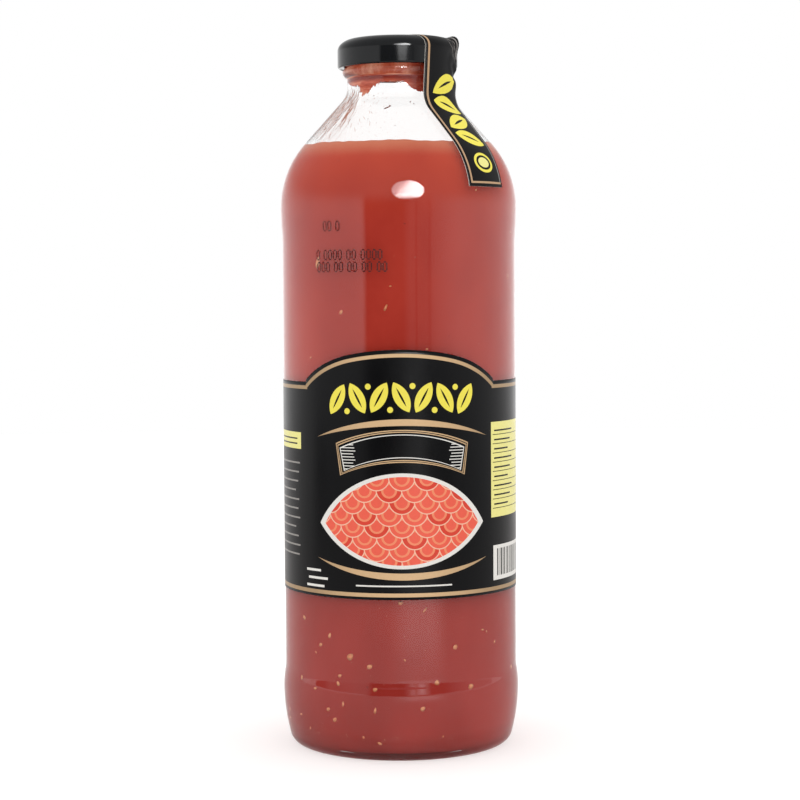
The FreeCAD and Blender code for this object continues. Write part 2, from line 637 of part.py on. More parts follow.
def make_gasket():
    """The ring of sealing compound under the crown, which lies flat on the glass rim."""
    body = new_body("cap_gasket")
    outline = Outline(body, "gasket_section")
    inner = cap_outer - size["step_inset"] + size["steel"] + size["gasket_gap"]
    inner_text = f"{CAP_OUTER} - Sizes.step_inset + Sizes.steel + Sizes.gasket_gap"
    outer = inner + size["gasket_width"]
    radius = size["crown_radius"] - size["steel"] - size["gasket_gap"]
    outline.start(inner, size["glass_height"])
    seat = outline.level(outer)
    outline.across("inner", inner_text, (seat, BEGIN), inner)
    outline.up("seat", "Sizes.glass_height", (seat, BEGIN), size["glass_height"])
    outline.tie("width", "Sizes.gasket_width", "DistanceX", seat, BEGIN, seat, END,
                size["gasket_width"])
    outline.upright(circle_height(crown_centre, radius, outer))
    top = outline.arc(
        inner, circle_height(crown_centre, radius, inner), crown_centre, "left", smooth=False
    )
    outline.radius("radius", "Sizes.crown_radius - Sizes.steel - Sizes.gasket_gap", top, radius)
    outline.across("crown_x", CROWN_X, (top, CENTRE), crown_centre[0])
    outline.up("crown_y", CROWN_Y, (top, CENTRE), crown_centre[1])
    outline.upright(size["glass_height"])
    outline.close()
    revolve(body, "Revolution", "gasket_turned", outline.sketch)


def draw_box(outline, left, low, right, high):
    """A rectangle by its corners, with each side's place as (name, expression, value)."""
    outline.start(left[2], low[2])
    base = outline.level(right[2])
    side = outline.upright(high[2])
    outline.level(left[2])
    outline.upright(low[2])
    outline.close()
    outline.across(*left[:2], (base, BEGIN), left[2])
    outline.up(*low[:2], (base, BEGIN), low[2])
    outline.across(*right[:2], (base, END), right[2])
    outline.up(*high[:2], (side, END), high[2])


def haunch(joint, crown_centre, end):
    """Centre of the arc that goes on smoothly from the arch's crown and stops at its end."""
    radius = math.dist(joint, crown_centre)
    inward = [(c - j) / radius for c, j in zip(crown_centre, joint)]
    chord = [e - j for e, j in zip(end, joint)]
    along = sum(c * i for c, i in zip(chord, inward))
    reach = sum(c * c for c in chord) / (2 * along)
    return tuple(j + reach * i for j, i in zip(joint, inward))


def make_label():
    """The paper label: it goes all the way round, laps behind and rises to an arch in front."""
    body = new_body("label")
    peak = label_top + size["arch_rise"]
    peak_text = f"{LABEL_TOP} + Sizes.arch_rise"
    low = ("low", "Sizes.label_bottom", size["label_bottom"])
    ring = Outline(body, "label_section")
    draw_box(
        ring,
        ("inner", LABEL_INNER, label_inner), low,
        ("outer", f"{LABEL_INNER} + Sizes.paper", label_outer), ("high", peak_text, peak),
    )
    revolve(body, "Revolution", "label_turned", ring.sketch)

    # The back is cut level; the front is cut along the arch and level beside it.
    wide = label_outer + MARGIN
    wide_text = f"{LABEL_INNER} + Sizes.paper + {MARGIN}"
    top = peak + MARGIN
    back = Outline(body, "above_the_back")
    draw_box(
        back,
        ("left", f"-({wide_text})", -wide), ("label_top", LABEL_TOP, label_top),
        ("right", wide_text, wide), ("top", f"{peak_text} + {MARGIN}", top),
    )
    cut(body, "level_back", back.sketch)

    half = label_outer * math.sin(math.radians(size["arch_half_angle"]))
    half_text = f"({LABEL_INNER} + Sizes.paper) * sin(Sizes.arch_half_angle)"
    crown_centre = (0.0, peak - size["arch_crown_radius"])
    joint_x = size["arch_crown_half"]
    joint = (joint_x, circle_height(crown_centre, size["arch_crown_radius"], joint_x))
    haunch_centre = haunch(joint, crown_centre, (half, label_top))
    front = Outline(body, "above_the_front")
    front.start(-wide, label_top)
    left = front.level(-half)
    rise = front.arc(-joint[0], joint[1], (-haunch_centre[0], haunch_centre[1]), "right", False)
    crown = front.arc(*joint, crown_centre, "right")
    fall = front.arc(half, label_top, haunch_centre, "right")
    right = front.level(wide)
    front.upright(top)
    lid = front.level(-wide)
    front.upright(label_top)
    front.close()
    front.across("left", f"-({wide_text})", (left, BEGIN), -wide)
    front.across("arch_left", f"-({half_text})", (left, END), -half)
    front.up("label_top", LABEL_TOP, (left, END), label_top)
    front.radius("arch_crown_radius", "Sizes.arch_crown_radius", crown, size["arch_crown_radius"])
    front.rule("PointOnObject", crown, CENTRE, UPRIGHT_AXIS)
    front.up("arch_centre", f"{peak_text} - Sizes.arch_crown_radius", (crown, CENTRE),
             crown_centre[1])
    front.across("crown_left", "-Sizes.arch_crown_half", (rise, BEGIN), -joint_x)
    front.across("crown_right", "Sizes.arch_crown_half", (fall, END), joint_x)
    front.across("arch_right", half_text, (right, BEGIN), half)
    front.up("label_top_right", LABEL_TOP, (right, BEGIN), label_top)
    front.across("right", wide_text, (right, END), wide)
    front.up("top", f"{peak_text} + {MARGIN}", (lid, BEGIN), top)
    cut(body, "arched_front", front.sketch, reverse=True)

    # The lap: the label's end lies over its start, one paper further out.
    lap = Outline(body, "lap_section", "YZ_Plane")
    lap_outer = label_outer + size["paper"]
    middle = label_inner + size["paper"] / 2
    draw_box(
        lap,
        ("middle", f"{LABEL_INNER} + Sizes.paper / 2", middle), low,
        ("lap_outer", f"{LABEL_INNER} + 2 * Sizes.paper", lap_outer),
        ("lap_top", LABEL_TOP, label_top),
    )
    revolve(body, "Revolution", "lap", lap.sketch, "Sizes.lap_angle")


def make_strip():
    """The paper seal: over the cap's edge, hanging past the neck, down cone and shoulder."""
    body = new_body("seal_strip")
    gap = size["paper_gap"]
    paper = size["paper"]
    start = size["strip_start"] / 2
    end = size["glass_height"] - size["strip_drop"]
    bridge = size["bridge_radius"]
    shoulder_centre = shoulder_arc(shoulder_bulge, size["shoulder_radius"], 0.0)[0]

    # Under the skirt the strip hangs straight down until a free curve takes it onto the cone.
    hang_x = cap_outer + gap
    bridge_x = hang_x + bridge
    bridge_centre = (bridge_x, cone_y(bridge_x, gap + bridge))

    def shoulder_x(radius):
        return shoulder_centre[0] + math.sqrt(radius**2 - (end - shoulder_centre[1]) ** 2)

    # Side that lies on cap and glass, from the cap's top down.
    outline = Outline(body, "strip_section")
    outline.start(start, cap_top + gap)
    top = outline.level(crown_centre[0])
    outline.across("start", "Sizes.strip_start / 2", (top, BEGIN), start)
    outline.up("top", f"{CAP_TOP} + Sizes.paper_gap", (top, BEGIN), cap_top + gap)
    crown = outline.arc(
        *on_circle(crown_centre, size["crown_radius"] + gap, crown_turn), crown_centre, "right"
    )
    outline.across("crown_x", CROWN_X, (crown, CENTRE), crown_centre[0])
    outline.up("crown_y", CROWN_Y, (crown, CENTRE), crown_centre[1])
    edge = outline.arc(hang_x, edge_centre[1], edge_centre, "right")
    outline.radius("edge_radius", "Sizes.edge_radius + Sizes.paper_gap", edge,
                   size["edge_radius"] + gap)
    skirt = outline.upright(bridge_centre[1], smooth=True)
    outline.across("skirt", f"{CAP_OUTER} + Sizes.paper_gap", (skirt, END), hang_x)
    free = outline.arc(*on_circle(bridge_centre, bridge, math.pi + slope), bridge_centre, "left")
    outline.radius("bridge_radius", "Sizes.bridge_radius", free, bridge)
    radius = size["shoulder_radius"] + gap
    cone = outline.line(*on_circle(shoulder_centre, radius, slope), smooth=True)
    outline.tie("slope", "(Sizes.cone_slope - 90) * 1 deg", "Angle", cone, slope - math.pi / 2)
    bend = outline.sketch.addGeometry(Part.Point(FreeCAD.Vector(*bend_centre, 0)), True)
    outline.across("bend_x", f"{NECK} + Sizes.neck_fillet", (bend, BEGIN), bend_centre[0])
    outline.up("bend_y", "Sizes.glass_height - Sizes.neck_drop", (bend, BEGIN), bend_centre[1])
    outline.tie("on_cone", "Sizes.neck_fillet - Sizes.paper_gap", "Distance", bend, BEGIN, cone,
                size["neck_fillet"] - gap)
    shoulder = outline.arc(shoulder_x(radius), end, shoulder_centre, "right")
    outline.radius("shoulder_radius", "Sizes.shoulder_radius + Sizes.paper_gap", shoulder, radius)
    outline.across("shoulder_x", "Sizes.panel_radius + Sizes.shoulder_bulge_out"
                   " - Sizes.shoulder_radius", (shoulder, CENTRE), shoulder_centre[0])
    tail = outline.level(shoulder_x(radius + paper))
    outline.up("end", "Sizes.glass_height - Sizes.strip_drop", (tail, BEGIN), end)

    # Outer side, one paper further out, back up to the cap's top.
    radius += paper
    over = outline.arc(
        *on_circle(shoulder_centre, radius, slope), shoulder_centre, "left", smooth=False
    )
    outline.rule("Coincident", over, CENTRE, shoulder, CENTRE)
    over_cone = outline.line(
        *on_circle(bridge_centre, bridge - paper, math.pi + slope), smooth=True
    )
    outline.rule("Parallel", over_cone, cone)
    over_free = outline.arc(hang_x + paper, bridge_centre[1], bridge_centre, "right")
    outline.rule("Coincident", over_free, CENTRE, free, CENTRE)
    outline.upright(edge_centre[1], smooth=True)
    over_edge = outline.arc(
        *on_circle(edge_centre, size["edge_radius"] + gap + paper, crown_turn), edge_centre, "left"
    )
    outline.rule("Coincident", over_edge, CENTRE, edge, CENTRE)
    over_crown = outline.arc(crown_centre[0], cap_top + gap + paper, crown_centre, "left")
    outline.rule("Coincident", over_crown, CENTRE, crown, CENTRE)
    outline.level(start, smooth=True)
    side = outline.upright(cap_top + gap)
    outline.tie("paper", "Sizes.paper", "DistanceY", side, END, side, BEGIN, paper)
    outline.close()
    revolve(body, "Revolution", "strip_turned", outline.sketch, "Sizes.strip_sector")

    cut_strip(body)
    body.Placement = FreeCAD.Placement(
        FreeCAD.Vector(0, 0, 0),
        FreeCAD.Rotation(FreeCAD.Vector(0, 0, 1), size["strip_azimuth"] - 90),
    )
    body.setExpression("Placement.Rotation.Angle", "(Sizes.strip_azimuth - 90) * 1 deg")


def cut_strip(body):
    """Cuts the strip to its width, leaning off the upright, and square at its end on the cap."""
    lean = math.radians(size["strip_lean"])
    head = cap_top + MARGIN
    foot = size["glass_height"] - size["strip_drop"] - MARGIN
    head_text = f"{CAP_TOP} + {MARGIN}"
    foot_text = f"Sizes.glass_height - Sizes.strip_drop - {MARGIN}"
    half = size["strip_width"] / 2 / math.cos(lean)
    half_text = "Sizes.strip_width / 2 / cos(Sizes.strip_lean)"
    far = 2 * shoulder_bulge
    far_text = "2 * (Sizes.panel_radius + Sizes.shoulder_bulge_out)"
    drop = head - foot
    drop_text = f"({head_text} - ({foot_text}))"

    beside = Outline(body, "beside_the_strip", "YZ_Plane")
    for name, sign, text in (("left", -1, "-"), ("right", 1, "")):
        shift = MARGIN * math.tan(lean)
        shift_text = f"{MARGIN} * tan(Sizes.strip_lean)"
        beside.start(sign * half + shift, head)
        edge = beside.line(sign * half + shift - drop * math.tan(lean), foot)
        beside.level(sign * far)
        out = beside.upright(head)
        beside.level(sign * half + shift)
        beside.close()
        edge_text = f"{text}({half_text}) + {shift_text}"
        beside.across(f"{name}_top", edge_text, (edge, BEGIN), sign * half + shift)
        beside.across(
            f"{name}_foot",
            f"{edge_text} - {drop_text} * tan(Sizes.strip_lean)",
            (edge, END),
            sign * half + shift - drop * math.tan(lean),
        )
        beside.across(f"{name}_far", f"{text}({far_text})", (out, END), sign * far)
        beside.up(f"{name}_head", head_text, (edge, BEGIN), head)
        beside.up(f"{name}_low", foot_text, (edge, END), foot)
    cut(body, "strip_sides", beside.sketch, both=True)

    low = cap_top - size["panel_recess"]
    end = Outline(body, "past_the_start")
    draw_box(
        end,
        ("far", f"-{MARGIN}", -MARGIN), ("low", f"{CAP_TOP} - Sizes.panel_recess", low),
        ("start", "Sizes.strip_start", size["strip_start"]), ("high", head_text, head),
    )
    cut(body, "strip_start", end.sketch, both=True)


def check(body):
    """Stops with a message if a piece's solid or any object of the document has failed."""
    for item in doc.Objects:
        if "Invalid" in item.State or "Error" in item.State:
            raise RuntimeError(f"{item.Name}: {item.State}")
        if item.TypeId == "Sketcher::SketchObject" and not item.FullyConstrained:
            raise RuntimeError(f"{item.Name} is not fully tied")
    if body.Shape.isNull() or not body.Shape.isValid():
        raise RuntimeError(f"{body.Label} has no valid solid")
    if len(body.Shape.Solids) != 1:
        raise RuntimeError(f"{body.Label} is {len(body.Shape.Solids)} solids")


make_threads(make_bottle())
make_filling()
make_cap()
make_gasket()
make_label()
make_strip()
doc.recompute()

os.makedirs("parts", exist_ok=True)
bodies = [item for item in doc.Objects if item.TypeId == "PartDesign::Body"]
for piece in bodies:
    check(piece)
for piece in bodies:
    piece.Shape.exportStep(f"parts/{piece.Label}.step")
    print(f"{piece.Label}: {piece.Shape.Volume / 1000:.2f} cm3, {piece.Shape.BoundBox}")
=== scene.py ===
import math
import random

import bmesh
import bpy
import numpy as np
from mathutils import Matrix, Vector, noise
from mathutils.geometry import delaunay_2d_cdt


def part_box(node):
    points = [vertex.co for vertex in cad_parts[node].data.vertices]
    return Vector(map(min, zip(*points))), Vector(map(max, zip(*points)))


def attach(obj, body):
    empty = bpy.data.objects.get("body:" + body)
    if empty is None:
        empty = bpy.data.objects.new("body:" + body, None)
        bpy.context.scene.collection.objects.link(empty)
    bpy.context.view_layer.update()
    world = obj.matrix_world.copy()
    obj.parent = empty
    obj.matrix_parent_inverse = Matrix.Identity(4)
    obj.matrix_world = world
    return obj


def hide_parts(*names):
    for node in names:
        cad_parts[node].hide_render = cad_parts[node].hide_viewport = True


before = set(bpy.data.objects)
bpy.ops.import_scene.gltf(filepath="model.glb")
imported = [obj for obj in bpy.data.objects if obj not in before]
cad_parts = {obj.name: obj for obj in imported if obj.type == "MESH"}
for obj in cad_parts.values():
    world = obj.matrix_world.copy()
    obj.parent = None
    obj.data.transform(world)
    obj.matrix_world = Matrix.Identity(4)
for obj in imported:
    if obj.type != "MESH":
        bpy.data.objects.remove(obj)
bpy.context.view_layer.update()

# Lengths below are in millimetres, and angles round the bottle in degrees: 0 is the middle of the
# label, towards -Y, and they grow to the right, towards +X.
MM = 0.001
MESH_STEPS = 256
# How far the filling and what lies in it reach into the glass, so that no gap shows.
REACH = 0.12
random.seed(7)


def box_mm(node):
    """The lowest and highest corner of a CAD node, in millimetres."""
    low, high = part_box(node)
    return Vector(low) / MM, Vector(high) / MM


glass_high = box_mm("glass_bottle")[1]
cap_low, cap_high = box_mm("cap")
label_low, label_high = box_mm("label")

GLASS_HEIGHT = glass_high.z
CAP_TOP = cap_high.z
CAP_BOTTOM = cap_low.z
CAP_RADIUS = cap_high.x
LEVEL = box_mm("crushed_tomatoes")[1].z

# Bottle: the same driving sizes as the CAD body.
WALL = 2.5
LOWER_BULGE = glass_high.x
PANEL = LOWER_BULGE - 0.75
SHOULDER_BULGE = PANEL + 0.53
PUSH_UP = 3.2
BASE_THICKNESS = 2.6
BEARING_WIDTH = 1.4
HEEL_RADIUS = 4.5
LOWER_SIDE_RADIUS = 65.0
LOWER_BULGE_HEIGHT = 20.0
LOWER_BULGE_RADIUS = 30.0
PANEL_FOOT_RADIUS = 16.0
PANEL_HEAD_RADIUS = 95.0
SHOULDER_RADIUS = 33.0
CONE_SLOPE = math.radians(41.8)
NECK_FILLET = 8.0
NECK_DROP = 14.1
FINISH_RADIUS = 17.9
NECK_RADIUS = FINISH_RADIUS - 0.55
BEAD_RADIUS = 1.9
BEAD_OUT = 1.1
BEAD_DROP = 9.5
BEAD_FILLET = 1.0
RIM_ROUND = 1.0
INNER_RIM_ROUND = 0.8
INNER_HEEL_RADIUS = 6.5
FLOOR_DOME_RADIUS = 170.0

# Screw threads of the finish.
THREADS = 4
THREAD_SPAN = 60.0
THREAD_RISE = 1.5
THREAD_DEPTH = 1.2
THREAD_ROOT = 1.7
THREAD_CREST = 0.9
THREAD_TAPER = 6.0
THREAD_LIFT = 1.4

# Label.
PAPER = 0.15
LABEL_RADIUS = -label_low.y
LABEL_BOTTOM = label_low.z
LABEL_PEAK = label_high.z
ARCH_RISE = 10.9
LABEL_TOP = LABEL_PEAK - ARCH_RISE
ARCH_HALF = 52.3
ARCH_CROWN_RADIUS = 90.0
ARCH_CROWN_HALF = 17.0
LAP_HALF = 6.0
PRINT_MIDDLE = 0.6

# Seal strip.
STRIP_WIDTH = 17.0
STRIP_AZIMUTH = 51.6
STRIP_LEAN = math.radians(2.8)
STRIP_START = 8.5
STRIP_END = box_mm("seal_strip")[0].z
STRIP_GAP = 0.05
CROWN_RADIUS = 5.46
EDGE_RADIUS = 3.4
CROWN_ANGLE = math.radians(45.0)
BRIDGE_RADIUS = 10.0
# The middle of the stretch whose right side has come loose.
LOOSE_HEIGHT = 232.0

WHITE = (1.0, 1.0, 1.0)


def wobble(x, y, z):
    """Smooth unevenness at a place, about -0.5 to 0.5, the same each run."""
    return noise.noise(Vector((x, y, z)))


def srgb(red, green, blue):
    """A colour as written for a screen, 0 to 255, in the linear values that shaders take."""
    return tuple(
        c / 12.92 if c <= 0.04045 else ((c + 0.055) / 1.055) ** 2.4
        for c in (red / 255, green / 255, blue / 255)
    )


# ---------------------------------------------------------------- materials


def new_material(name):
    """A material with a Principled shader, its node tree and that shader."""
    material = bpy.data.materials.new(name)
    material.use_nodes = True
    tree = material.node_tree
    return material, tree, tree.nodes["Principled BSDF"]


def feed(tree, node, inputs):
    """Gives a node's inputs their values, or links the sockets that stand for them."""
    for key, value in inputs.items():
        if isinstance(value, bpy.types.NodeSocket):
            tree.links.new(value, node.inputs[key])
        else:
            node.inputs[key].default_value = value


def add(tree, kind, inputs=None, **settings):
    """A node with its settings and its inputs."""
    node = tree.nodes.new(kind)
    for key, value in settings.items():
        setattr(node, key, value)
    feed(tree, node, inputs or {})
    return node


def noise_field(tree, scale, detail=4.0, stretch=(1, 1, 1), roughness=0.5):
    """Noise over the object in metres, stretched by axis."""
    place = add(tree, "ShaderNodeTexCoord").outputs["Object"]
    place = add(tree, "ShaderNodeMapping", {"Vector": place, "Scale": stretch}).outputs[0]
    return add(
        tree,
        "ShaderNodeTexNoise",
        {"Vector": place, "Scale": scale, "Detail": detail, "Roughness": roughness},
    ).outputs["Fac"]


def ramp(tree, factor, stops):
    """A colour ramp over a factor, from (position, colour) stops."""
    node = add(tree, "ShaderNodeValToRGB", {"Fac": factor})
    elements = node.color_ramp.elements
    while len(elements) < len(stops):
        elements.new(0.5)
    for element, (position, colour) in zip(elements, stops):
        element.position = position
        element.color = (*colour, 1)
    return node.outputs["Color"]


def two_tones(tree, factor, dark, light):
    """A colour between two tones over the middle of a noise's range."""
    return ramp(tree, factor, [(0.3, dark), (0.7, light)])


def span(tree, factor, low, high):
    """The factor's range 0 to 1 moved to low to high."""
    return add(
        tree, "ShaderNodeMapRange", {"Value": factor, "To Min": low, "To Max": high}
    ).outputs[0]


def maths(tree, operation, *values):
    """One Math node over values or sockets."""
    return add(tree, "ShaderNodeMath", dict(enumerate(values)), operation=operation).outputs[0]


def product(tree, *values):
    """Values or sockets multiplied together."""
    total = values[0]
    for value in values[1:]:
        total = maths(tree, "MULTIPLY", total, value)
    return total


def smooth(tree, value, low, high, to_low=0.0, to_high=1.0):
    """A soft step of a value from one level to another; low may lie above high."""
    return add(
        tree,
        "ShaderNodeMapRange",
        {"Value": value, "From Min": low, "From Max": high, "To Min": to_low, "To Max": to_high},
        interpolation_type="SMOOTHSTEP",
    ).outputs[0]


def xyz(tree, output="Object"):
    """The three coordinates of a Texture Coordinate output."""
    place = add(tree, "ShaderNodeTexCoord")
    return add(tree, "ShaderNodeSeparateXYZ", {0: place.outputs[output]}).outputs


def bump(tree, shader, height, strength, distance):
    """Gives a shader its relief, with the distance in millimetres."""
    inputs = {"Height": height, "Strength": strength, "Distance": distance * MM}
    feed(tree, shader, {"Normal": add(tree, "ShaderNodeBump", inputs).outputs[0]})


def glass_material():
    """Clear container glass, which lets lamps and soft light through to what it holds."""
    material, tree, shader = new_material("clear_glass")
    waves = noise_field(tree, 55.0, detail=1.0, stretch=(1, 1, 0.5))
    feed(tree, shader, {
        "Base Color": (0.995, 1.0, 0.998, 1),
        "Transmission Weight": 1.0,
        "IOR": 1.5,
        "Roughness": span(tree, waves, 0.0, 0.008),
    })
    bump(tree, shader, waves, 0.12, 0.5)
    path = add(tree, "ShaderNodeLightPath").outputs
    passing = maths(tree, "MAXIMUM", path["Is Shadow Ray"], path["Is Diffuse Ray"])
    clear = add(tree, "ShaderNodeBsdfTransparent").outputs[0]
    mix = add(tree, "ShaderNodeMixShader", {0: passing, 1: shader.outputs[0], 2: clear})
    feed(tree, tree.nodes["Material Output"], {"Surface": mix.outputs[0]})
    return material


def mixed(tree, factor, first, second, blend="MIX"):
    """Two colours mixed by a factor; each is a socket or a plain colour."""
    first, second = (
        value if isinstance(value, bpy.types.NodeSocket) else (*value, 1)
        for value in (first, second)
    )
    inputs = {0: factor, 6: first, 7: second}
    node = add(tree, "ShaderNodeMix", inputs, data_type="RGBA", blend_type=blend)
    return node.outputs[2]


def pulp_material():
    """Crushed tomatoes against the glass: dense red pulp in soft clouds, with painted shade darker
    towards the bottom, painted light paler on the shoulder, and a paler orange band just under its
    level.
    """
    material, tree, shader = new_material("tomato_pulp")
    clouds = noise_field(tree, 45.0, detail=2.0, stretch=(1, 1, 0.6))
    grain = noise_field(tree, 420.0, detail=2.0)
    tone = maths(tree, "ADD", clouds, span(tree, grain, -0.08, 0.08))
    colour = two_tones(tree, tone, (0.285, 0.027, 0.020), (0.365, 0.037, 0.029))
    # Each paler pulp takes over from one height to another: the first two are painted shade low
    # down and painted light on the shoulder; the last is a paler band under the level.
    for low, high, dark, light in (
        (22.0, 120.0, (0.36, 0.029, 0.018), (0.44, 0.042, 0.026)),
        (176.0, 203.0, (0.43, 0.038, 0.016), (0.50, 0.052, 0.021)),
        (LEVEL - 6.0, LEVEL + 0.5, (0.53, 0.14, 0.070), (0.60, 0.19, 0.105)),
    ):
        paler = two_tones(tree, tone, dark, light)
        colour = mixed(tree, smooth(tree, xyz(tree)["Z"], low * MM, high * MM), colour, paler)
    feed(tree, shader, {"Base Color": colour, "Roughness": 0.7, "Specular IOR Level": 0.0})
    bump(tree, shader, grain, 0.05, 0.25)
    return material


def tomato_bit_material(name, dark, light):
    """A seed, a skin, a smear or a drop of ink: two tones of one colour, mottled."""
    material, tree, shader = new_material(name)
    mottle = noise_field(tree, 700.0, detail=3.0)
    colour = two_tones(tree, mottle, dark, light)
    feed(tree, shader, {"Base Color": colour, "Roughness": 0.5, "Specular IOR Level": 0.25})
    bump(tree, shader, mottle, 0.2, 0.1)
    return material


def film_material():
    """A film of pulp in the neck: a painted highlight on the bead, a painted dark line just under
    it, pale where it thins at its edge, and painted shade to the right, towards the seal strip.
    """
    material, tree, shader = new_material("pulp_film")
    clouds = noise_field(tree, 130.0, detail=5.0, stretch=(0.8, 0.8, 3.6), roughness=0.65)
    # Dark film, which also gives the painted dark line under the bead and the painted shade towards
    # the strip.
    thick = two_tones(tree, clouds, (0.20, 0.010, 0.004), (0.36, 0.030, 0.012))
    # Pale film, which also gives the painted highlight on the bead.
    thin = ramp(tree, clouds, [(0.34, (0.40, 0.034, 0.014)), (0.5, (0.68, 0.13, 0.060)),
                               (0.64, (0.96, 0.42, 0.27))])

    def by_height(low, high):
        """A soft step between two heights over the bead's middle, in millimetres."""
        bead = bead_centre[1]
        return smooth(tree, xyz(tree)["Z"], (bead + low) * MM, (bead + high) * MM)

    # Painted highlight on the bead; the dark film left between it and the thin edge below is a
    # painted dark line.
    bead_highlight = product(tree, by_height(-1.9, -1.3), by_height(1.3, 0.4))
    below = product(tree, by_height(-2.8, -4.0), 0.85)
    # Painted shade: less of the pale film to the right, towards the seal strip.
    strip_shade = smooth(tree, turn_of(tree, xyz(tree)), at(10), at(24), 1.0, 0.35)
    spread = product(tree, maths(tree, "MAXIMUM", bead_highlight, below), strip_shade)
    colour = mixed(tree, spread, thick, thin)
    feed(tree, shader, {"Base Color": colour, "Roughness": 0.5, "Specular IOR Level": 0.1})
    bump(tree, shader, clouds, 0.3, 0.2)
    return material


def lacquer_material():
    """Glossy black lacquer on steel, with a faint orange peel and smudges."""
    material, tree, shader = new_material("black_lacquer")
    peel = noise_field(tree, 700.0, detail=2.0)
    smudges = noise_field(tree, 90.0, detail=4.0)
    feed(tree, shader, {
        "Base Color": two_tones(tree, peel, (0.002, 0.0026, 0.0036), (0.003, 0.0038, 0.005)),
        "Roughness": span(tree, smudges, 0.03, 0.12),
        "Specular IOR Level": 0.35,
    })
    bump(tree, shader, peel, 0.04, 0.04)
    return material


def compound_material():
    """Pale sealing compound, satin and slightly uneven."""
    material, tree, shader = new_material("sealing_compound")
    mottle = noise_field(tree, 500.0, detail=3.0)
    colour = two_tones(tree, mottle, (0.55, 0.5, 0.44), (0.68, 0.64, 0.58))
    feed(tree, shader, {"Base Color": colour, "Roughness": 0.55})
    bump(tree, shader, mottle, 0.2, 0.05)
    return material


def print_material(name, gloss, ior):
    """Printed coated paper: its inks are the mesh's own colours, over a faint paper grain."""
    material, tree, shader = new_material(name)
    ink = add(tree, "ShaderNodeAttribute", attribute_name="ink").outputs["Color"]
    fibre = noise_field(tree, 1400.0, detail=4.0)
    grain = ramp(tree, fibre, [(0.25, (0.93, 0.93, 0.93)), (0.75, WHITE)])
    wear = noise_field(tree, 130.0, detail=4.0)
    feed(tree, shader, {
        "Base Color": mixed(tree, 1.0, ink, grain, blend="MULTIPLY"),
        "Roughness": span(tree, wear, gloss * 0.8, gloss * 1.25),
        "IOR": ior,
    })
    bump(tree, shader, fibre, 0.08, 0.04)
    return material


# ---------------------------------------------------------------- meshes


def around(radius, turn, height):
    """The place at a radius, an angle in radians and a height; numbers or arrays."""
    return radius * np.sin(turn), -radius * np.cos(turn), height


def full_turn(count):
    """The angles of `count` even steps round a circle."""
    return [2 * math.pi * i / count for i in range(count)]


def turned(outline, turn, centre=(0.0, 0.0)):
    """A flat outline turned by an angle in radians and moved to a centre."""
    cos, sin = math.cos(turn), math.sin(turn)
    return [(centre[0] + x * cos - y * sin, centre[1] + x * sin + y * cos) for x, y in outline]


def make_piece(name, points, faces, material, replaces=(), smooth=True):
    """A piece of the bottle from points in millimetres."""
    mesh = bpy.data.meshes.new(name)
    mesh.from_pydata([tuple(p) for p in np.asarray(points, float) * MM], [], faces)
    mesh.materials.append(material)
    mesh.polygons.foreach_set("use_smooth", [smooth] * len(mesh.polygons))
    mesh.update()
    piece = bpy.data.objects.new(name, mesh)
    bpy.context.scene.collection.objects.link(piece)
    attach(piece, "root")
    if replaces:
        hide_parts(*replaces)
    return piece


def on_arc(centre, radius, angle):
    """A point of a circle."""
    return (centre[0] + radius * math.cos(angle), centre[1] + radius * math.sin(angle))


def arc(centre, radius, start, end, step=4.0):
    """Points of an arc from one angle to another, in radians, about `step` degrees apart."""
    count = max(2, math.ceil(abs(math.degrees(end - start)) / step))
    return [on_arc(centre, radius, start + (end - start) * i / count) for i in range(count + 1)]


def line(start, end, step=2.0):
    """Points of a straight run, at most `step` millimetres apart."""
    count = max(1, math.ceil(math.dist(start, end) / step))
    return [
        (start[0] + (end[0] - start[0]) * i / count, start[1] + (end[1] - start[1]) * i / count)
        for i in range(count + 1)
    ]


def joined(*runs):
    """One outline from several runs, without the points where they meet twice."""
    outline = []
    for run in runs:
        for point in run:
            if not outline or math.dist(outline[-1], point) > 1e-4:
                outline.append(point)
    return outline


def lathe(outline, steps=MESH_STEPS, place=None):
    """Points and faces of an outline turned round the bottle's axis. place moves (angle, r, z)."""
    angles = np.radians(np.arange(steps) * 360.0 / steps)
    points = []
    rings = []
    for radius, height in outline:
        if radius < 1e-6:
            rings.append([len(points)] * steps)
            points.append((0.0, 0.0, height))
            continue
        radii = np.full(steps, radius)
        heights = np.full(steps, height)
        if place is not None:
            radii, heights = place(np.degrees(angles), radii, heights)
        rings.append(list(range(len(points), len(points) + steps)))
        points += list(zip(*around(radii, angles, heights)))
    faces = []
    for low, high in zip(rings, rings[1:]):
        for i in range(steps):
            j = (i + 1) % steps
            faces.append(tuple(dict.fromkeys([low[i], low[j], high[j], high[i]])))
    return points, faces


# ---------------------------------------------------------------- glass bottle

lower_centre = (LOWER_BULGE - LOWER_SIDE_RADIUS, LOWER_BULGE_HEIGHT)
heel_reach = LOWER_SIDE_RADIUS - HEEL_RADIUS
heel_turn = math.asin((HEEL_RADIUS - LOWER_BULGE_HEIGHT) / heel_reach)
heel_centre = (lower_centre[0] + heel_reach * math.cos(heel_turn), HEEL_RADIUS)
crest_centre = (LOWER_BULGE - LOWER_BULGE_RADIUS, LOWER_BULGE_HEIGHT)
foot_turn = math.acos(1 - (LOWER_BULGE - PANEL) / (LOWER_BULGE_RADIUS + PANEL_FOOT_RADIUS))
foot_centre = (
    PANEL + PANEL_FOOT_RADIUS,
    LOWER_BULGE_HEIGHT + (LOWER_BULGE_RADIUS + PANEL_FOOT_RADIUS) * math.sin(foot_turn),
)
bend_centre = (NECK_RADIUS + NECK_FILLET, GLASS_HEIGHT - NECK_DROP)
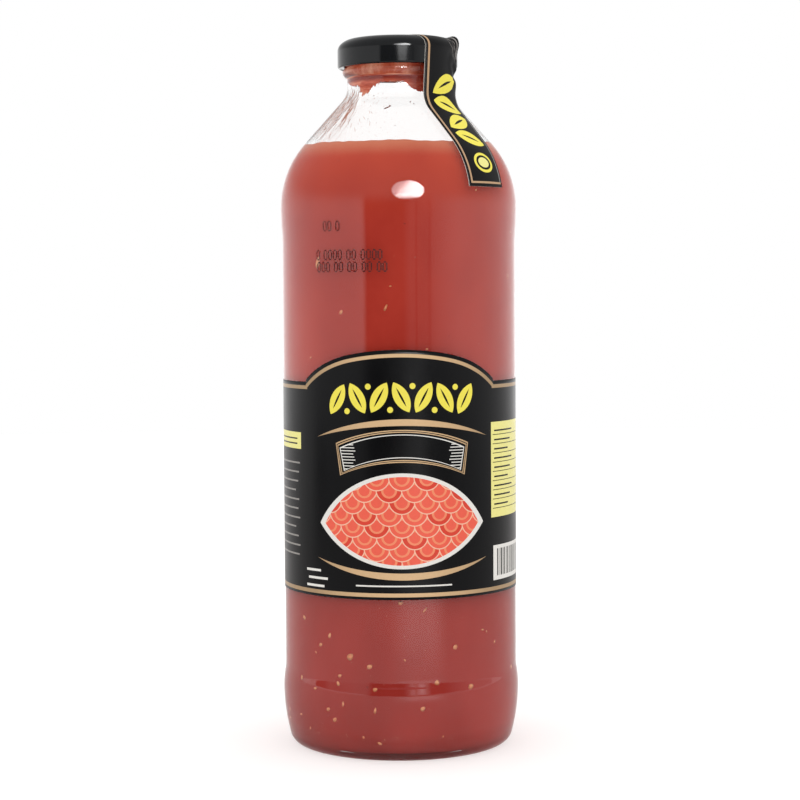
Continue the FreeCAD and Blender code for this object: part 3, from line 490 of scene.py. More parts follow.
# The cone touches the neck's bend and the shoulder, which stands as high as that allows.
shoulder_x = SHOULDER_BULGE - SHOULDER_RADIUS
shoulder_centre = (
    shoulder_x,
    bend_centre[1]
    + (
        (bend_centre[0] - shoulder_x) * math.cos(CONE_SLOPE) - NECK_FILLET - SHOULDER_RADIUS
    ) / math.sin(CONE_SLOPE),
)
head_turn = math.acos(1 - (SHOULDER_BULGE - PANEL) / (2 * PANEL_HEAD_RADIUS))
head_base = shoulder_centre[1] - 2 * PANEL_HEAD_RADIUS * math.sin(head_turn)
bead_centre = (FINISH_RADIUS + BEAD_OUT - BEAD_RADIUS, GLASS_HEIGHT - BEAD_DROP)
fillet_centre_x = NECK_RADIUS + BEAD_FILLET
fillet_turn = math.acos((bead_centre[0] - fillet_centre_x) / (BEAD_RADIUS + BEAD_FILLET))
fillet_centre = (
    fillet_centre_x,
    bead_centre[1] - (BEAD_RADIUS + BEAD_FILLET) * math.sin(fillet_turn),
)
bead_end = math.acos((FINISH_RADIUS - bead_centre[0]) / BEAD_RADIUS)
bore = NECK_RADIUS - WALL
inner_wall = PANEL - WALL
inner_shoulder_x = inner_wall - (SHOULDER_RADIUS - WALL)
inner_shoulder = (
    inner_shoulder_x,
    shoulder_centre[1] + (shoulder_x - inner_shoulder_x) / math.tan(CONE_SLOPE),
)
dome_centre = (0.0, PUSH_UP + BASE_THICKNESS - FLOOR_DOME_RADIUS)
inner_heel_x = inner_wall - INNER_HEEL_RADIUS
inner_heel_turn = math.asin(inner_heel_x / (FLOOR_DOME_RADIUS + INNER_HEEL_RADIUS))
inner_heel = (
    inner_heel_x,
    dome_centre[1] + (FLOOR_DOME_RADIUS + INNER_HEEL_RADIUS) * math.cos(inner_heel_turn),
)
ring_inner = heel_centre[0] - BEARING_WIDTH
push_radius = (ring_inner**2 + PUSH_UP**2) / (2 * PUSH_UP)
push_turn = math.asin(ring_inner / push_radius)
QUARTER = math.pi / 2
CREST_TOP = 2 * LOWER_BULGE_HEIGHT


def outer_outline():
    """The outside of the glass from the middle of its base up to the rim."""
    base = arc((0, PUSH_UP - push_radius), push_radius, QUARTER, QUARTER - push_turn, 1.0)
    heel = arc(heel_centre, HEEL_RADIUS, -QUARTER, heel_turn)
    side = arc(lower_centre, LOWER_SIDE_RADIUS, heel_turn, 0, 1.5)
    crest = arc(crest_centre, LOWER_BULGE_RADIUS, 0, foot_turn, 1.5)
    foot = arc(foot_centre, PANEL_FOOT_RADIUS, math.pi + foot_turn, math.pi, 1.5)
    panel = line((PANEL, foot_centre[1]), (PANEL, head_base), 6.0)
    flare = arc((PANEL + PANEL_HEAD_RADIUS, head_base), PANEL_HEAD_RADIUS, math.pi,
                math.pi - head_turn, 0.8)
    head = arc((SHOULDER_BULGE - PANEL_HEAD_RADIUS, shoulder_centre[1]), PANEL_HEAD_RADIUS,
               -head_turn, 0, 0.8)
    shoulder = arc(shoulder_centre, SHOULDER_RADIUS, 0, CONE_SLOPE, 1.5)
    bend = arc(bend_centre, NECK_FILLET, math.pi + CONE_SLOPE, math.pi, 3.0)
    fillet = arc(fillet_centre, BEAD_FILLET, math.pi, fillet_turn, 8.0)
    bead = arc(bead_centre, BEAD_RADIUS, fillet_turn - math.pi, bead_end, 6.0)
    rim = arc((FINISH_RADIUS - RIM_ROUND, GLASS_HEIGHT - RIM_ROUND), RIM_ROUND, 0, QUARTER, 10.0)
    wall = line(bead[-1], rim[0], 0.22)
    return joined(base, heel, side, crest, foot, panel, flare, head, shoulder, bend, fillet,
                  bead, wall, rim)


def inner_outline(grow=0.0):
    """The inside of the glass from the rim down to the middle of the floor, grown into the wall."""
    rim = arc((bore + INNER_RIM_ROUND, GLASS_HEIGHT - INNER_RIM_ROUND), INNER_RIM_ROUND,
              QUARTER, math.pi, 10.0)
    bend = arc(bend_centre, NECK_FILLET + WALL - grow, math.pi, math.pi + CONE_SLOPE, 3.0)
    shoulder = arc(inner_shoulder, SHOULDER_RADIUS - WALL + grow, CONE_SLOPE, 0, 1.5)
    heel = arc(inner_heel, INNER_HEEL_RADIUS + grow, 0, -QUARTER - inner_heel_turn, 4.0)
    floor = arc(dome_centre, FLOOR_DOME_RADIUS - grow, QUARTER - inner_heel_turn, QUARTER, 1.0)
    floor[-1] = (0.0, floor[-1][1])
    wall = line(shoulder[-1], heel[0], 6.0)
    cone = line(bend[-1], shoulder[0], 1.5)
    if grow:
        return joined(bend, cone, shoulder, wall, heel, floor)
    return joined(rim, bend, cone, shoulder, wall, heel, floor)


def thread_relief(azimuth, radii, heights):
    """Adds the four screw threads to the finish, tapered at their ends."""
    root_bottom = CAP_BOTTOM + THREAD_LIFT
    for start in range(THREADS):
        along = (azimuth - start * 360.0 / THREADS) % 360.0
        middle = root_bottom + THREAD_ROOT / 2 + THREAD_RISE * along / THREAD_SPAN
        off = np.abs(heights - middle)
        side = np.clip((THREAD_ROOT / 2 - off) / ((THREAD_ROOT - THREAD_CREST) / 2), 0, 1)
        ends = np.clip(np.minimum(along, THREAD_SPAN - along) / THREAD_TAPER, 0, 1)
        on_wall = np.abs(radii - FINISH_RADIUS) < 0.01
        radii = radii + np.where(on_wall, THREAD_DEPTH * side * ends, 0.0)
    return radii, heights


def make_glass():
    """The bottle's glass with its screw threads."""
    outline = joined(outer_outline(), inner_outline())
    points, faces = lathe(outline, place=thread_relief)
    make_piece("bottle_glass", points, faces, glass_material(), ["glass_bottle"])


inner_points = np.array([p for p in inner_outline() if p[0] > inner_heel_x or p[1] > CREST_TOP])
inner_order = np.argsort(inner_points[:, 1])


def inner_radius(height):
    """The radius of the inside of the glass at a height above the inner heel."""
    return np.interp(height, inner_points[inner_order, 1], inner_points[inner_order, 0])


outer_points = np.array([p for p in outer_outline() if HEEL_RADIUS < p[1] < bead_centre[1]])


def outer_radius(height):
    """The radius of the outside of the glass at a height between the heel and the bead."""
    return np.interp(height, outer_points[:, 1], outer_points[:, 0])


# ---------------------------------------------------------------- filling


def ripple(azimuth, radius, scale):
    """Seeded unevenness of a surface round the axis, about -0.5 to 0.5."""
    turn = math.radians(azimuth)
    return wobble(radius * math.sin(turn) * scale, radius * math.cos(turn) * scale, 3.7)


def make_filling():
    """The pulp up to its level, reaching a little into the wall, with an uneven top."""
    sunk = LEVEL - 0.8
    side = [p for p in reversed(inner_outline(REACH)) if p[1] < LEVEL - 0.6]
    contact = float(inner_radius(LEVEL)) + REACH
    top = [(contact, LEVEL), (contact - 0.5, LEVEL - 0.25), (contact - 1.2, LEVEL - 0.6)]
    top += [(r, sunk) for r in np.linspace(contact - 2.4, 1.2, 22)] + [(0.0, sunk)]

    def uneven(azimuth, radii, heights):
        if heights[0] < LEVEL - 0.9:
            return radii, heights
        inset = contact - radii[0]
        lift = np.array([
            1.1 * ripple(a, radii[0], 0.07) + 0.5 * ripple(a, radii[0], 0.35) for a in azimuth
        ])
        if inset < 0.6:
            heights = heights + 0.5 * lift - 0.25
            return inner_radius(heights) + REACH - inset, heights
        return radii, heights + lift - 0.3

    points, faces = lathe(side + top, steps=240, place=uneven)
    make_piece("tomato_filling", points, faces, pulp_material(), ["crushed_tomatoes"])


# ---------------------------------------------------------------- seeds, skins and smears


def teardrop(length, width, degrees, count=14):
    """A seed's outline, narrower at one end, with its long axis turned from level."""
    outline = [
        (length / 2 * math.cos(a), width / 2 * math.sin(a) * (1 - 0.22 * math.cos(a)))
        for a in full_turn(count)
    ]
    return turned(outline, math.radians(degrees))


def shred(length, width, count=11):
    """A torn scrap's uneven outline, turned at random."""
    turn = random.uniform(0, math.pi)
    outline = []
    for angle in full_turn(count):
        size = random.uniform(0.62, 1.0) / 2
        outline.append((size * length * math.cos(angle), size * width * math.sin(angle)))
    return turned(outline, turn)


def shreds(count, place, length, width, corners=11):
    """Scraps at random: place gives an azimuth and a height, sizes are (least, most)."""
    return [
        (*place(), shred(random.uniform(*length), random.uniform(*width), corners))
        for _ in range(count)
    ]


def clinging(name, spots, material, depth, crown):
    """Small flat bodies on the inside of the glass, joined as one piece.

    spots are (azimuth, height, outline), with the outline flat, x round the bottle and y up.
    Each body is a lens whose rim lies `depth` inside the wall and whose middle is thicker.
    """
    points = []
    faces = []
    for azimuth, height, outline in spots:
        first = len(points)
        count = len(outline)
        flat = np.array(outline + [(0.0, 0.0), (0.0, 0.0)])
        heights = height + flat[:, 1]
        radii = inner_radius(heights) + depth + np.array([0.0] * count + [crown, -crown])
        turns = math.radians(azimuth) + flat[:, 0] / radii
        points += list(zip(*around(radii, turns, heights)))
        for i in range(count):
            j = (i + 1) % count
            faces.append((first + i, first + j, first + count))
            faces.append((first + j, first + i, first + count + 1))
    make_piece(name, points, faces, material)


# The seeds that show most: azimuth, height, length, width, turn of the long axis.
SEEDS = [
    (-44, 166, 3.8, 1.7, 75), (-6.5, 151, 2.4, 0.8, 65), (0, 53.5, 1.7, 1.3, 20),
    (12, 51, 2.1, 0.6, 50), (-38, 41.5, 1.9, 1.1, 70), (-44, 38, 1.6, 1.2, 30),
    (-26, 35, 2.6, 2.0, 40), (28, 38, 1.8, 1.5, 60), (18, 26.5, 1.9, 1.6, 90),
    (37, 24, 2.1, 1.7, 10), (-33, 25.5, 1.7, 1.2, 110), (-30, 19, 1.8, 0.7, 85),
    (-13, 17.5, 2.0, 0.8, 80), (-11, 6.5, 1.6, 1.0, 150),
]


def scattered(count, left, right, low, high):
    """Random places within a patch of the glass."""
    return [(random.uniform(left, right), random.uniform(low, high)) for _ in range(count)]


def make_seeds():
    """Seeds in the pulp against the glass, with a pale sac of gel round some of them."""
    seeds = [(*place, teardrop(length, width, turn)) for *place, length, width, turn in SEEDS]
    places = scattered(26, 65, 290, 8, 52) + scattered(24, 65, 290, 128, 200)
    places += scattered(18, -60, 60, 6, 52) + scattered(6, -60, 60, 128, 190)
    for azimuth, height in places:
        length = random.triangular(0.7, 2.2, 1.0)
        outline = teardrop(length, length * random.uniform(0.45, 0.8), random.uniform(0, 180))
        seeds.append((azimuth, height, outline))
    wider = 1.5
    sacs = [(a, h, [(wider * x, wider * y) for x, y in outline]) for a, h, outline in seeds[::3]]
    seed = tomato_bit_material("seed_coat", (0.66, 0.20, 0.080), (0.84, 0.37, 0.18))
    gel = tomato_bit_material("seed_gel", (0.41, 0.075, 0.045), (0.48, 0.12, 0.07))
    clinging("tomato_seeds", seeds, seed, REACH + 0.015, 0.09)
    clinging("seed_sacs", sacs, gel, REACH - 0.02, 0.07)


def make_flecks():
    """Pale shreds of flesh, dark shreds of skin and fine specks in the pulp."""
    low, high = 8.0, LEVEL - 4.0

    def anywhere():
        return random.uniform(-180, 180), random.uniform(low, high)

    def mostly_low():
        return random.uniform(-180, 180), random.triangular(low, high, low)

    skins = [(-33.5, 199, shred(1.6, 0.7)), (3.0, 178.5, shred(0.8, 0.4))]
    flesh = shreds(150, anywhere, (0.8, 3.2), (0.5, 1.8))
    skins += shreds(46, anywhere, (0.5, 1.5), (0.2, 0.5))
    specks = shreds(420, mostly_low, (0.15, 0.4), (0.15, 0.3), 6)
    # A row of specks lies where the side turns into the floor.
    for _ in range(90):
        place = random.uniform(-180, 180), random.gauss(7.8, 0.5)
        specks.append((*place, shred(random.uniform(0.2, 0.5), 0.3, 6)))
    for name, spots, look, dark, light, depth, crown in (
        ("flesh_shreds", flesh, "flesh", (0.37, 0.045, 0.03), (0.44, 0.07, 0.045), -0.03, 0.05),
        ("skin_shreds", skins, "skin", (0.13, 0.012, 0.01), (0.2, 0.02, 0.016), 0.0, 0.03),
        ("pale_specks", specks, "specks", (0.5, 0.2, 0.12), (0.66, 0.36, 0.24), 0.0, 0.03),
    ):
        clinging(name, spots, tomato_bit_material(look, dark, light), REACH + depth, crown)


# Lower edge of the film in the neck, as (azimuth, height), read round the bottle.
FILM_EDGE = [
    (-180, 229.7), (-112, 229.7), (-88, 228.0), (-70, 226.4), (-56, 226.4), (-46, 222.8),
    (-41, 222.4), (-33, 225.4), (-22, 226.9), (7, 227.1), (16, 224.8), (28, 223.0),
    (62, 222.8), (84, 226.0), (112, 229.7), (180, 229.7),
]
FILM_STEPS = 720
FILM_ROWS = 14
FILM_TOP_GAP = 0.9
# Just above the filling, where the threads and specks in the cone end.
CONE_FOOT = 206.2


def film_edge(azimuth):
    """Height of the film's ragged lower edge."""
    edge = float(np.interp(azimuth, *zip(*FILM_EDGE)))
    ragged = wobble(azimuth * 0.55, 1.3, 0.0)
    fine = wobble(azimuth * 2.1, 7.9, 0.0)
    run = max(0.0, wobble(azimuth * 1.9, 4.4, 0.0) - 0.1)
    left = max(0.0, 1 - abs(azimuth + 46) / 30)
    return edge + 0.5 * ragged + 0.25 * fine - 5.0 * left * run


def make_film():
    """The thin film of pulp inside the neck, ragged below, as closed sheets on the glass."""
    rows = (np.arange(FILM_ROWS) / (FILM_ROWS - 1)) ** 1.6
    top = GLASS_HEIGHT - FILM_TOP_GAP
    outer = []
    inner = []
    for step in range(FILM_STEPS):
        azimuth = step * 360.0 / FILM_STEPS - 180.0
        turn = math.radians(azimuth)
        low = film_edge(azimuth)
        heights = low + (top - low) * rows
        walls = inner_radius(heights)
        thick = 0.05 + 0.22 * np.clip((heights - low) / 1.5, 0, 1)
        outer += list(zip(*around(walls + REACH, turn, heights)))
        inner += list(zip(*around(walls - thick, turn, heights)))
    faces = []
    back = len(outer)
    last = FILM_ROWS - 1
    for step in range(FILM_STEPS):
        here = step * FILM_ROWS
        there = (step + 1) % FILM_STEPS * FILM_ROWS
        for row in range(last):
            a, b, c, d = here + row, there + row, there + row + 1, here + row + 1
            faces += [(a, b, c, d), (back + d, back + c, back + b, back + a)]
        faces.append((there, here, back + here, back + there))
        faces.append((here + last, there + last, back + there + last, back + here + last))
    make_piece("neck_film", outer + inner, faces, film_material())


def thread_of_pulp(azimuth, height, length, width, slant):
    """A wandering thread of pulp down the inside: points and faces of a thin four-sided body."""
    steps = max(3, int(length / 0.5))
    points = []
    seed = random.uniform(0, 50)
    for i in range(steps + 1):
        z = height - length * i / steps
        wall = float(inner_radius(z))
        sway = slant * length * i / steps + 1.1 * wobble(seed, z * 0.3, 0.0)
        turn = math.radians(azimuth) + sway / wall
        side = width / 2 * math.sin(math.pi * (0.08 + 0.84 * i / steps)) / wall
        for out, across in ((0.03, -side), (0.07, 0.0), (0.03, side), (-0.03, 0.0)):
            points.append(around(wall + out, turn + across, z))
    faces = []
    for i in range(steps):
        for k in range(4):
            a, b = 4 * i + k, 4 * i + (k + 1) % 4
            faces.append((a, a + 4, b + 4, b))
    faces += [(0, 1, 2, 3), tuple(4 * steps + k for k in (3, 2, 1, 0))]
    return points, faces


def make_threads(material):
    """The threads down the cone: many on the left, a few in the middle, some behind."""
    runs = []
    for _ in range(110):
        start = random.triangular(207.5, 227.5, 222)
        azimuth = -92 + 44 * random.random() ** 1.6 + (228 - start) * 0.25
        length = min(start - CONE_FOOT, random.uniform(2.0, 11.0))
        runs.append((azimuth, start, length, random.uniform(0.14, 0.36),
                     random.uniform(-0.15, 0.3)))
    for _ in range(9):
        start = random.uniform(209, 221)
        runs.append((random.uniform(-48, -20), start, random.uniform(0.8, 2.4),
                     random.uniform(0.1, 0.2), random.uniform(0.2, 0.9)))
    for _ in range(34):
        start = random.uniform(212, 229)
        azimuth = random.choice((random.uniform(236, 268), random.uniform(72, 104)))
        runs.append((azimuth, start, random.uniform(2.0, 9.0), random.uniform(0.08, 0.2),
                     random.uniform(-0.3, 0.3)))
    points = []
    faces = []
    for run in runs:
        more, sides = thread_of_pulp(*run)
        faces += [tuple(len(points) + k for k in side) for side in sides]
        points += more
    make_piece("cone_threads", points, faces, material)


def make_smears():
    """Threads, specks and scraps that the pulp left on the inside of the cone as it sank."""
    tan = tomato_bit_material("dried_pulp", (0.34, 0.085, 0.035), (0.62, 0.26, 0.15))
    make_threads(tan)

    def mostly_left():
        return -95 + 85 * random.random() ** 1.7, random.uniform(CONE_FOOT + 0.2, 226.5)

    def the_rest():
        return random.uniform(-10, 265), random.uniform(CONE_FOOT + 0.2, 230)

    specks = shreds(260, mostly_left, (0.12, 0.45), (0.1, 0.3), 6)
    specks += shreds(120, the_rest, (0.1, 0.3), (0.1, 0.25), 6)
    clinging("cone_specks", specks, tan, 0.02, 0.02)
    dark = tomato_bit_material("dark_scraps", (0.16, 0.026, 0.010), (0.32, 0.07, 0.032))
    scraps = [(-9.5, 217.0, [(x, 0.45 * x + y) for x, y in teardrop(2.4, 0.5, 0)])]
    for azimuth, height, length, width in (
        (-7.6, 217.7, 0.8, 0.35), (13, 219, 0.9, 0.4), (16, 218.3, 0.6, 0.4),
        (-28, 221.5, 0.7, 0.3), (-2, 210.5, 0.5, 0.25), (-24, 213, 0.6, 0.2),
    ):
        scraps.append((azimuth, height, shred(length, width)))
    for azimuth in range(-20, 6, 3):
        scraps.append((azimuth, film_edge(azimuth) + 0.2, shred(1.1, 0.4)))
    clinging("cone_scraps", scraps, dark, 0.1, 0.04)


def zero_dots(width=3, height=6):
    """The dots of a plain dot-matrix nought, as places on a small grid."""
    return [
        (x, y)
        for x in range(width + 1)
        for y in range(height + 1)
        if (x in (0, width)) != (y in (0, height))
    ]


def ink_places():
    """The places of all ink dots: rows of plain noughts in groups."""
    pitch = 0.5
    step, gap = 2.75, 1.8
    spots = []
    for height, place, groups in (
        (166.9, -42.5, (1, 4, 2, 4)), (162.9, -42.0, (3, 2, 2, 2, 2)), (176.4, -38.0, (2, 1))
    ):
        for group in groups:
            for _ in range(group):
                spots += [(place + math.degrees(x * pitch * 0.8 / PANEL), height + y * pitch)
                          for x, y in zero_dots()]
                place += step
            place += gap
    return spots


def make_ink_marks():
    """A faint ink-jet code of plain noughts on the glass, each dot a small flat disc."""
    points = []
    faces = []
    count = 8
    for azimuth, height in ink_places():
        first = len(points)
        size = random.uniform(0.22, 0.29)
        for out in (0.012, -0.02):
            for x, y in oval((0, 0), size, size, count):
                turn = math.radians(azimuth) + x / PANEL
                points.append(around(outer_radius(height) + out, turn, height + y))
        faces.append(tuple(first + i for i in range(count)))
        faces.append(tuple(first + count + i for i in reversed(range(count))))
        for i in range(count):
            j = (i + 1) % count
            faces.append((first + j, first + i, first + count + i, first + count + j))
    ink = tomato_bit_material("ink_marks", (0.02, 0.003, 0.003), (0.07, 0.008, 0.007))
    make_piece("ink_marks", points, faces, ink, smooth=False)


# ---------------------------------------------------------------- printed papers


def signed_area(outline):
    """An outline's area, negative if it runs clockwise."""
    return 0.5 * sum(
        a[0] * b[1] - b[0] * a[1] for a, b in zip(outline, outline[1:] + outline[:1])
    )


def sheet_faces(outline, layers, cuts):
    """A flat sheet cut along its print: its points, its triangles and each triangle's ink."""
    points = []
    loops = []
    for shape in [outline] + [layer[0] for layer in layers]:
        if signed_area(shape) < 0:
            shape = shape[::-1]
        loops.append(list(range(len(points), len(points) + len(shape))))
        points += [Vector(p) for p in shape]
    edges = []
    for cut in cuts:
        edges.append((len(points), len(points) + 1))
        points += [Vector(p) for p in cut]
    flat, _, faces, _, _, sources = delaunay_2d_cdt(points, edges, loops, 1, 1e-5, True)
    triangles = []
    inks = []
    for face, ids in zip(faces, sources):
        if 0 not in ids:
            continue
        ink = layers[0][1]
        for number, (_, layer_ink, field) in enumerate(layers, start=1):
            if number in ids and (field is None or field in ids):
                ink = layer_ink
        triangles.append(tuple(face))
        inks.append(ink)
    return np.array([tuple(p) for p in flat]), triangles, inks


def printed_sheet(name, outline, layers, cuts, place, material, replaces):
    """A paper cut to an outline, with its printed fields as faces of the sheet itself.

    layers are (outline, ink, field) in the order they are printed; with a field's number, a
    layer shows only inside that earlier layer. cuts are lines along which the sheet can bend.
    place turns flat points into points of the sheet's face and of its back.
    """
    flat, triangles, inks = sheet_faces(outline, layers, cuts)
    front, back = place(flat)
    count = len(flat)
    sides = dict.fromkeys(
        edge for a, b, c in triangles for edge in ((a, b), (b, c), (c, a))
    )
    reverse = [(a + count, c + count, b + count) for a, b, c in triangles]
    walls = [(b, a, a + count, b + count) for a, b in sides if (b, a) not in sides]
    piece = make_piece(name, np.vstack([front, back]), triangles + reverse + walls, material,
                       replaces, smooth=False)
    colours = [
        (*ink_colour(ink, flat[corner]), 1.0)
        for face, ink in zip(triangles, inks) for corner in face
    ]
    colours += [(*srgb(*PAPER_BACK), 1.0)] * (3 * len(reverse) + 4 * len(walls))
    attribute = piece.data.color_attributes.new("ink", "FLOAT_COLOR", "CORNER")
    attribute.data.foreach_set("color", np.array(colours).ravel())
    smooth = [True] * (2 * len(triangles)) + [False] * len(walls)
    piece.data.polygons.foreach_set("use_smooth", smooth)
    drop_loose_points(piece.data)


def drop_loose_points(mesh):
    """Removes points that no face uses."""
    shape = bmesh.new()
    shape.from_mesh(mesh)
    bmesh.ops.delete(shape, geom=[v for v in shape.verts if not v.link_faces], context="VERTS")
    shape.to_mesh(mesh)
    shape.free()


PAPER_BACK = (225, 222, 214)
INKS = {
    "black": (6, 6, 8),
    "gold": (224, 188, 144),
    "gold_line": (196, 160, 124),
    "yellow": (250, 236, 92),
    "pale_yellow": (247, 240, 150),
    "white": (240, 238, 232),
    "grey": (150, 146, 142),
    "crease": (118, 112, 108),
    "salmon": (246, 104, 84),
    "red": (226, 74, 58),
    "orange": (250, 150, 112),
    "peach": (253, 200, 172),
}
FADE = {"gold": 0.42}


def ink_colour(ink, point):
    """An ink's colour at a place; gold is shaded towards the ends of its bands."""
    colour = srgb(*INKS[ink])
    if ink in FADE:
        off = min(1.0, abs(point[0] - PRINT_MIDDLE) / 32.0)
        colour = tuple(c * (1 - FADE[ink] * off**2) for c in colour)
    return colour


def rectangle(left, low, right, high):
    """A rectangle's corners."""
    return [(left, low), (right, low), (right, high), (left, high)]


def oval(centre, half_width, half_height, count=40):
    """Points of an oval."""
    return [
        (centre[0] + half_width * math.cos(a), centre[1] + half_height * math.sin(a))
        for a in full_turn(count)
    ]


def bow(left, peak, right, count=40):
    """Points from left to right on the circle through three points."""
    a, b, c = (np.array(p, float) for p in (left, peak, right))
    ends = np.array([b - a, c - a])
    centre = a + np.linalg.solve(2 * ends, (ends**2).sum(axis=1))
    radius = np.linalg.norm(a - centre)
    start, middle, end = (math.atan2(*(p - centre)[::-1]) for p in (a, b, c))
    full = 2 * math.pi
    turn = (end - start) % full
    if (middle - start) % full >= turn:
        turn -= full
    return [on_arc(centre, radius, start + turn * i / count) for i in range(count + 1)]


def lens(left, right, high, low):
    """The field between two bows that share their ends. high and low are the bows' middles."""
    over = bow(left, high, right)
    under = bow(left, low, right)
    return over + under[-2:0:-1]


def leaf(centre, length, width, turn):
    """A pointed oval with its long axis turned from level, in radians."""
    shape = lens((-length / 2, 0), (length / 2, 0), (0, width / 2), (0, -width / 2))
    return turned(shape, turn, centre)


# ---------------------------------------------------------------- label


def along(azimuth):
    """Distance along the label's face from its middle."""
    return math.radians(azimuth) * LABEL_RADIUS


def arch_outline(inset=0.0):
    """The arch over the label's front from left to right: a crown and two haunches."""
    corner = (along(ARCH_HALF), LABEL_TOP)
    middle = (0.0, LABEL_PEAK - ARCH_CROWN_RADIUS)
    crown_turn = math.asin(ARCH_CROWN_HALF / ARCH_CROWN_RADIUS)
    joint = on_arc(middle, ARCH_CROWN_RADIUS, QUARTER - crown_turn)
    inward = (-math.sin(crown_turn), -math.cos(crown_turn))
    chord = (corner[0] - joint[0], corner[1] - joint[1])
    haunch_radius = (chord[0] ** 2 + chord[1] ** 2) / (
        2 * (chord[0] * inward[0] + chord[1] * inward[1])
    )
    haunch = (joint[0] + haunch_radius * inward[0], joint[1] + haunch_radius * inward[1])
    end = math.atan2(corner[1] - haunch[1], corner[0] - haunch[0])
    right = arc(haunch, haunch_radius - inset, end, QUARTER - crown_turn, 1.5)
    crown = arc(middle, ARCH_CROWN_RADIUS - inset, QUARTER - crown_turn, QUARTER, 0.8)
    half_arch = joined(right, crown)
    return [(-x, z) for x, z in half_arch] + half_arch[-2::-1]


label_half = along(180.0 + LAP_HALF)


def top_edge(inset):
    """The label's upper edge or a line inside it, from the left end to the right."""
    arch = arch_outline(inset)
    level = LABEL_TOP - inset
    inside = [p for p in arch if p[1] > level]
    first = inside[0]
    start = (first[0], level)
    return [(-label_half, level), start] + inside + [(-start[0], level), (label_half, level)]


def band(upper, lower):
    """The field between two lines that run the same way."""
    return upper + lower[::-1]


def ribbon(inset):
    """The bowed banner across the label's middle, or an outline inside it."""
    left, right = -22.3 + inset, 24.0 - inset
    low_left, low_right = -20.7 + inset, 22.6 - inset
    over = bow((left, 106.3 - inset), (PRINT_MIDDLE, 110.9 - inset), (right, 106.3 - inset))
    under = bow((low_left, 95.6 + inset), (PRINT_MIDDLE, 100.1 + inset), (low_right, 95.6 + inset))
    return over + under[::-1]


def garland(paint):
    """A row of leaves and dots under the arch, sinking a little towards its ends."""
    pitch, height, sag = 7.4, 121.6, 0.09
    for step in range(-3, 4):
        centre = (PRINT_MIDDLE + pitch * step, height - sag * step**2)
        turn = math.radians(62 if step % 2 else 118)
        paint(leaf(centre, 11.2, 5.0, turn), "yellow")
        paint(leaf(centre, 7.2, 0.7, turn), "black")
    for step in range(-3, 3):
        middle = PRINT_MIDDLE + pitch * (step + 0.5)
        drop = (3.9 if step % 2 else -3.9) + sag * (step + 0.5) ** 2
        paint(oval((middle, height - 0.2 - drop), 1.0, 1.0, 20), "yellow")


def crescents(paint):
    """A gold crescent above the banner and one under the pattern."""
    middle = PRINT_MIDDLE + 0.3
    paint(lens((-30.2, 108.1), (32.2, 108.2), (middle, 114.4), (middle, 112.2)), "gold")
    paint(lens((-30.3, 67.9), (32.2, 67.7), (middle, 63.5), (middle, 61.2)), "gold")


def banner(paint):
    """An empty banner with gold and white frames and short hatching at its ends."""
    for inset, ink in ((0, "gold"), (0.35, "black"), (0.6, "gold"), (0.9, "black"),
                       (1.5, "white"), (1.8, "black")):
        inside = paint(ribbon(inset), ink)
    for number in range(9):
        low, high = 97.7 + number, 98.0 + number
        reach = 0.4 * (number % 3)
        paint(rectangle(-22.0, low, -15.0 - reach, high), "white", inside)
        paint(rectangle(16.8 + reach, low, 24.0, high), "white", inside)


def scales(paint):
    """Overlapping scales in a white lens."""
    ends = (PRINT_MIDDLE - 29.6, 79.5), (PRINT_MIDDLE + 29.9, 79.5)
    paint(lens(*ends, (PRINT_MIDDLE, 96.6), (PRINT_MIDDLE, 64.9)), "white")
    left, right = (ends[0][0] + 2.2, 79.5), (ends[1][0] - 2.2, 79.5)
    field = paint(lens(left, right, (PRINT_MIDDLE, 95.4), (PRINT_MIDDLE, 66.1)), "red")
    pitch, rise = 8.4, 3.9
    for row in range(9):
        for column in range(-4, 5):
            x = PRINT_MIDDLE + pitch * (column + 0.5 * (row % 2))
            z = 64.0 + rise * row
            if abs(x - PRINT_MIDDLE) > 31:
                continue
            ink = "salmon" if (row + column) % 3 else "red"
            for drop, size, count, colour in ((0, 4.55, 32, "peach"), (0, 4.2, 32, ink),
                                              (0.3, 2.7, 24, "orange"), (0.45, 1.9, 20, "salmon")):
                paint(oval((x, z - drop), size, size, count), colour, field)


def left_panel(paint):
    """Plain bars left of the front and under it."""
    for number, (left, right) in enumerate(((-36, -27.5), (-35, -26), (-36, -29))):
        height = 57.8 + 2.6 * number
        paint(rectangle(left, height, right, height + 0.8), "white")
    paint(rectangle(-15.1, 59.0, 17.6, 59.5), "white")
    paint(rectangle(-62.0, 103.5, -39.1, 109.1), "pale_yellow")
    for height in (105.0, 106.7):
        paint(rectangle(-60.0, height, -41.5, height + 0.5), "black")
    for number in range(11):
        short = 3.0 if number % 4 == 3 else 0.6 * (number % 3)
        height = 98.5 - 3.1 * number
        paint(rectangle(-62.0, height, -40.0 - short, height + 0.55), "grey")


def right_panel(paint):
    """A ruled table with plain bars, and a row of upright bars under it."""
    paint(rectangle(34.7, 80.3, 74.0, 112.4), "pale_yellow")
    for number in range(9):
        height = 83.2 + 3.1 * number
        paint(rectangle(35.6, height, 73.1, height + 0.25), "black")
        paint(rectangle(36.4, height + 1.2, 46.0 + 2.0 * (number % 3), height + 1.75), "black")
        paint(rectangle(62.0, height + 1.2, 71.0 - 1.5 * (number % 2), height + 1.75), "black")
    paint(rectangle(58.5, 81.3, 58.75, 111.4), "black")
    paint(rectangle(35.8, 59.0, 68.0, 70.8), "white")
    place = 38.0
    while place < 66.0:
        width = random.choice((0.3, 0.3, 0.6, 0.9))
        paint(rectangle(place, 60.4, place + width, 69.6), "black")
        place += width + random.choice((0.3, 0.5, 0.8))


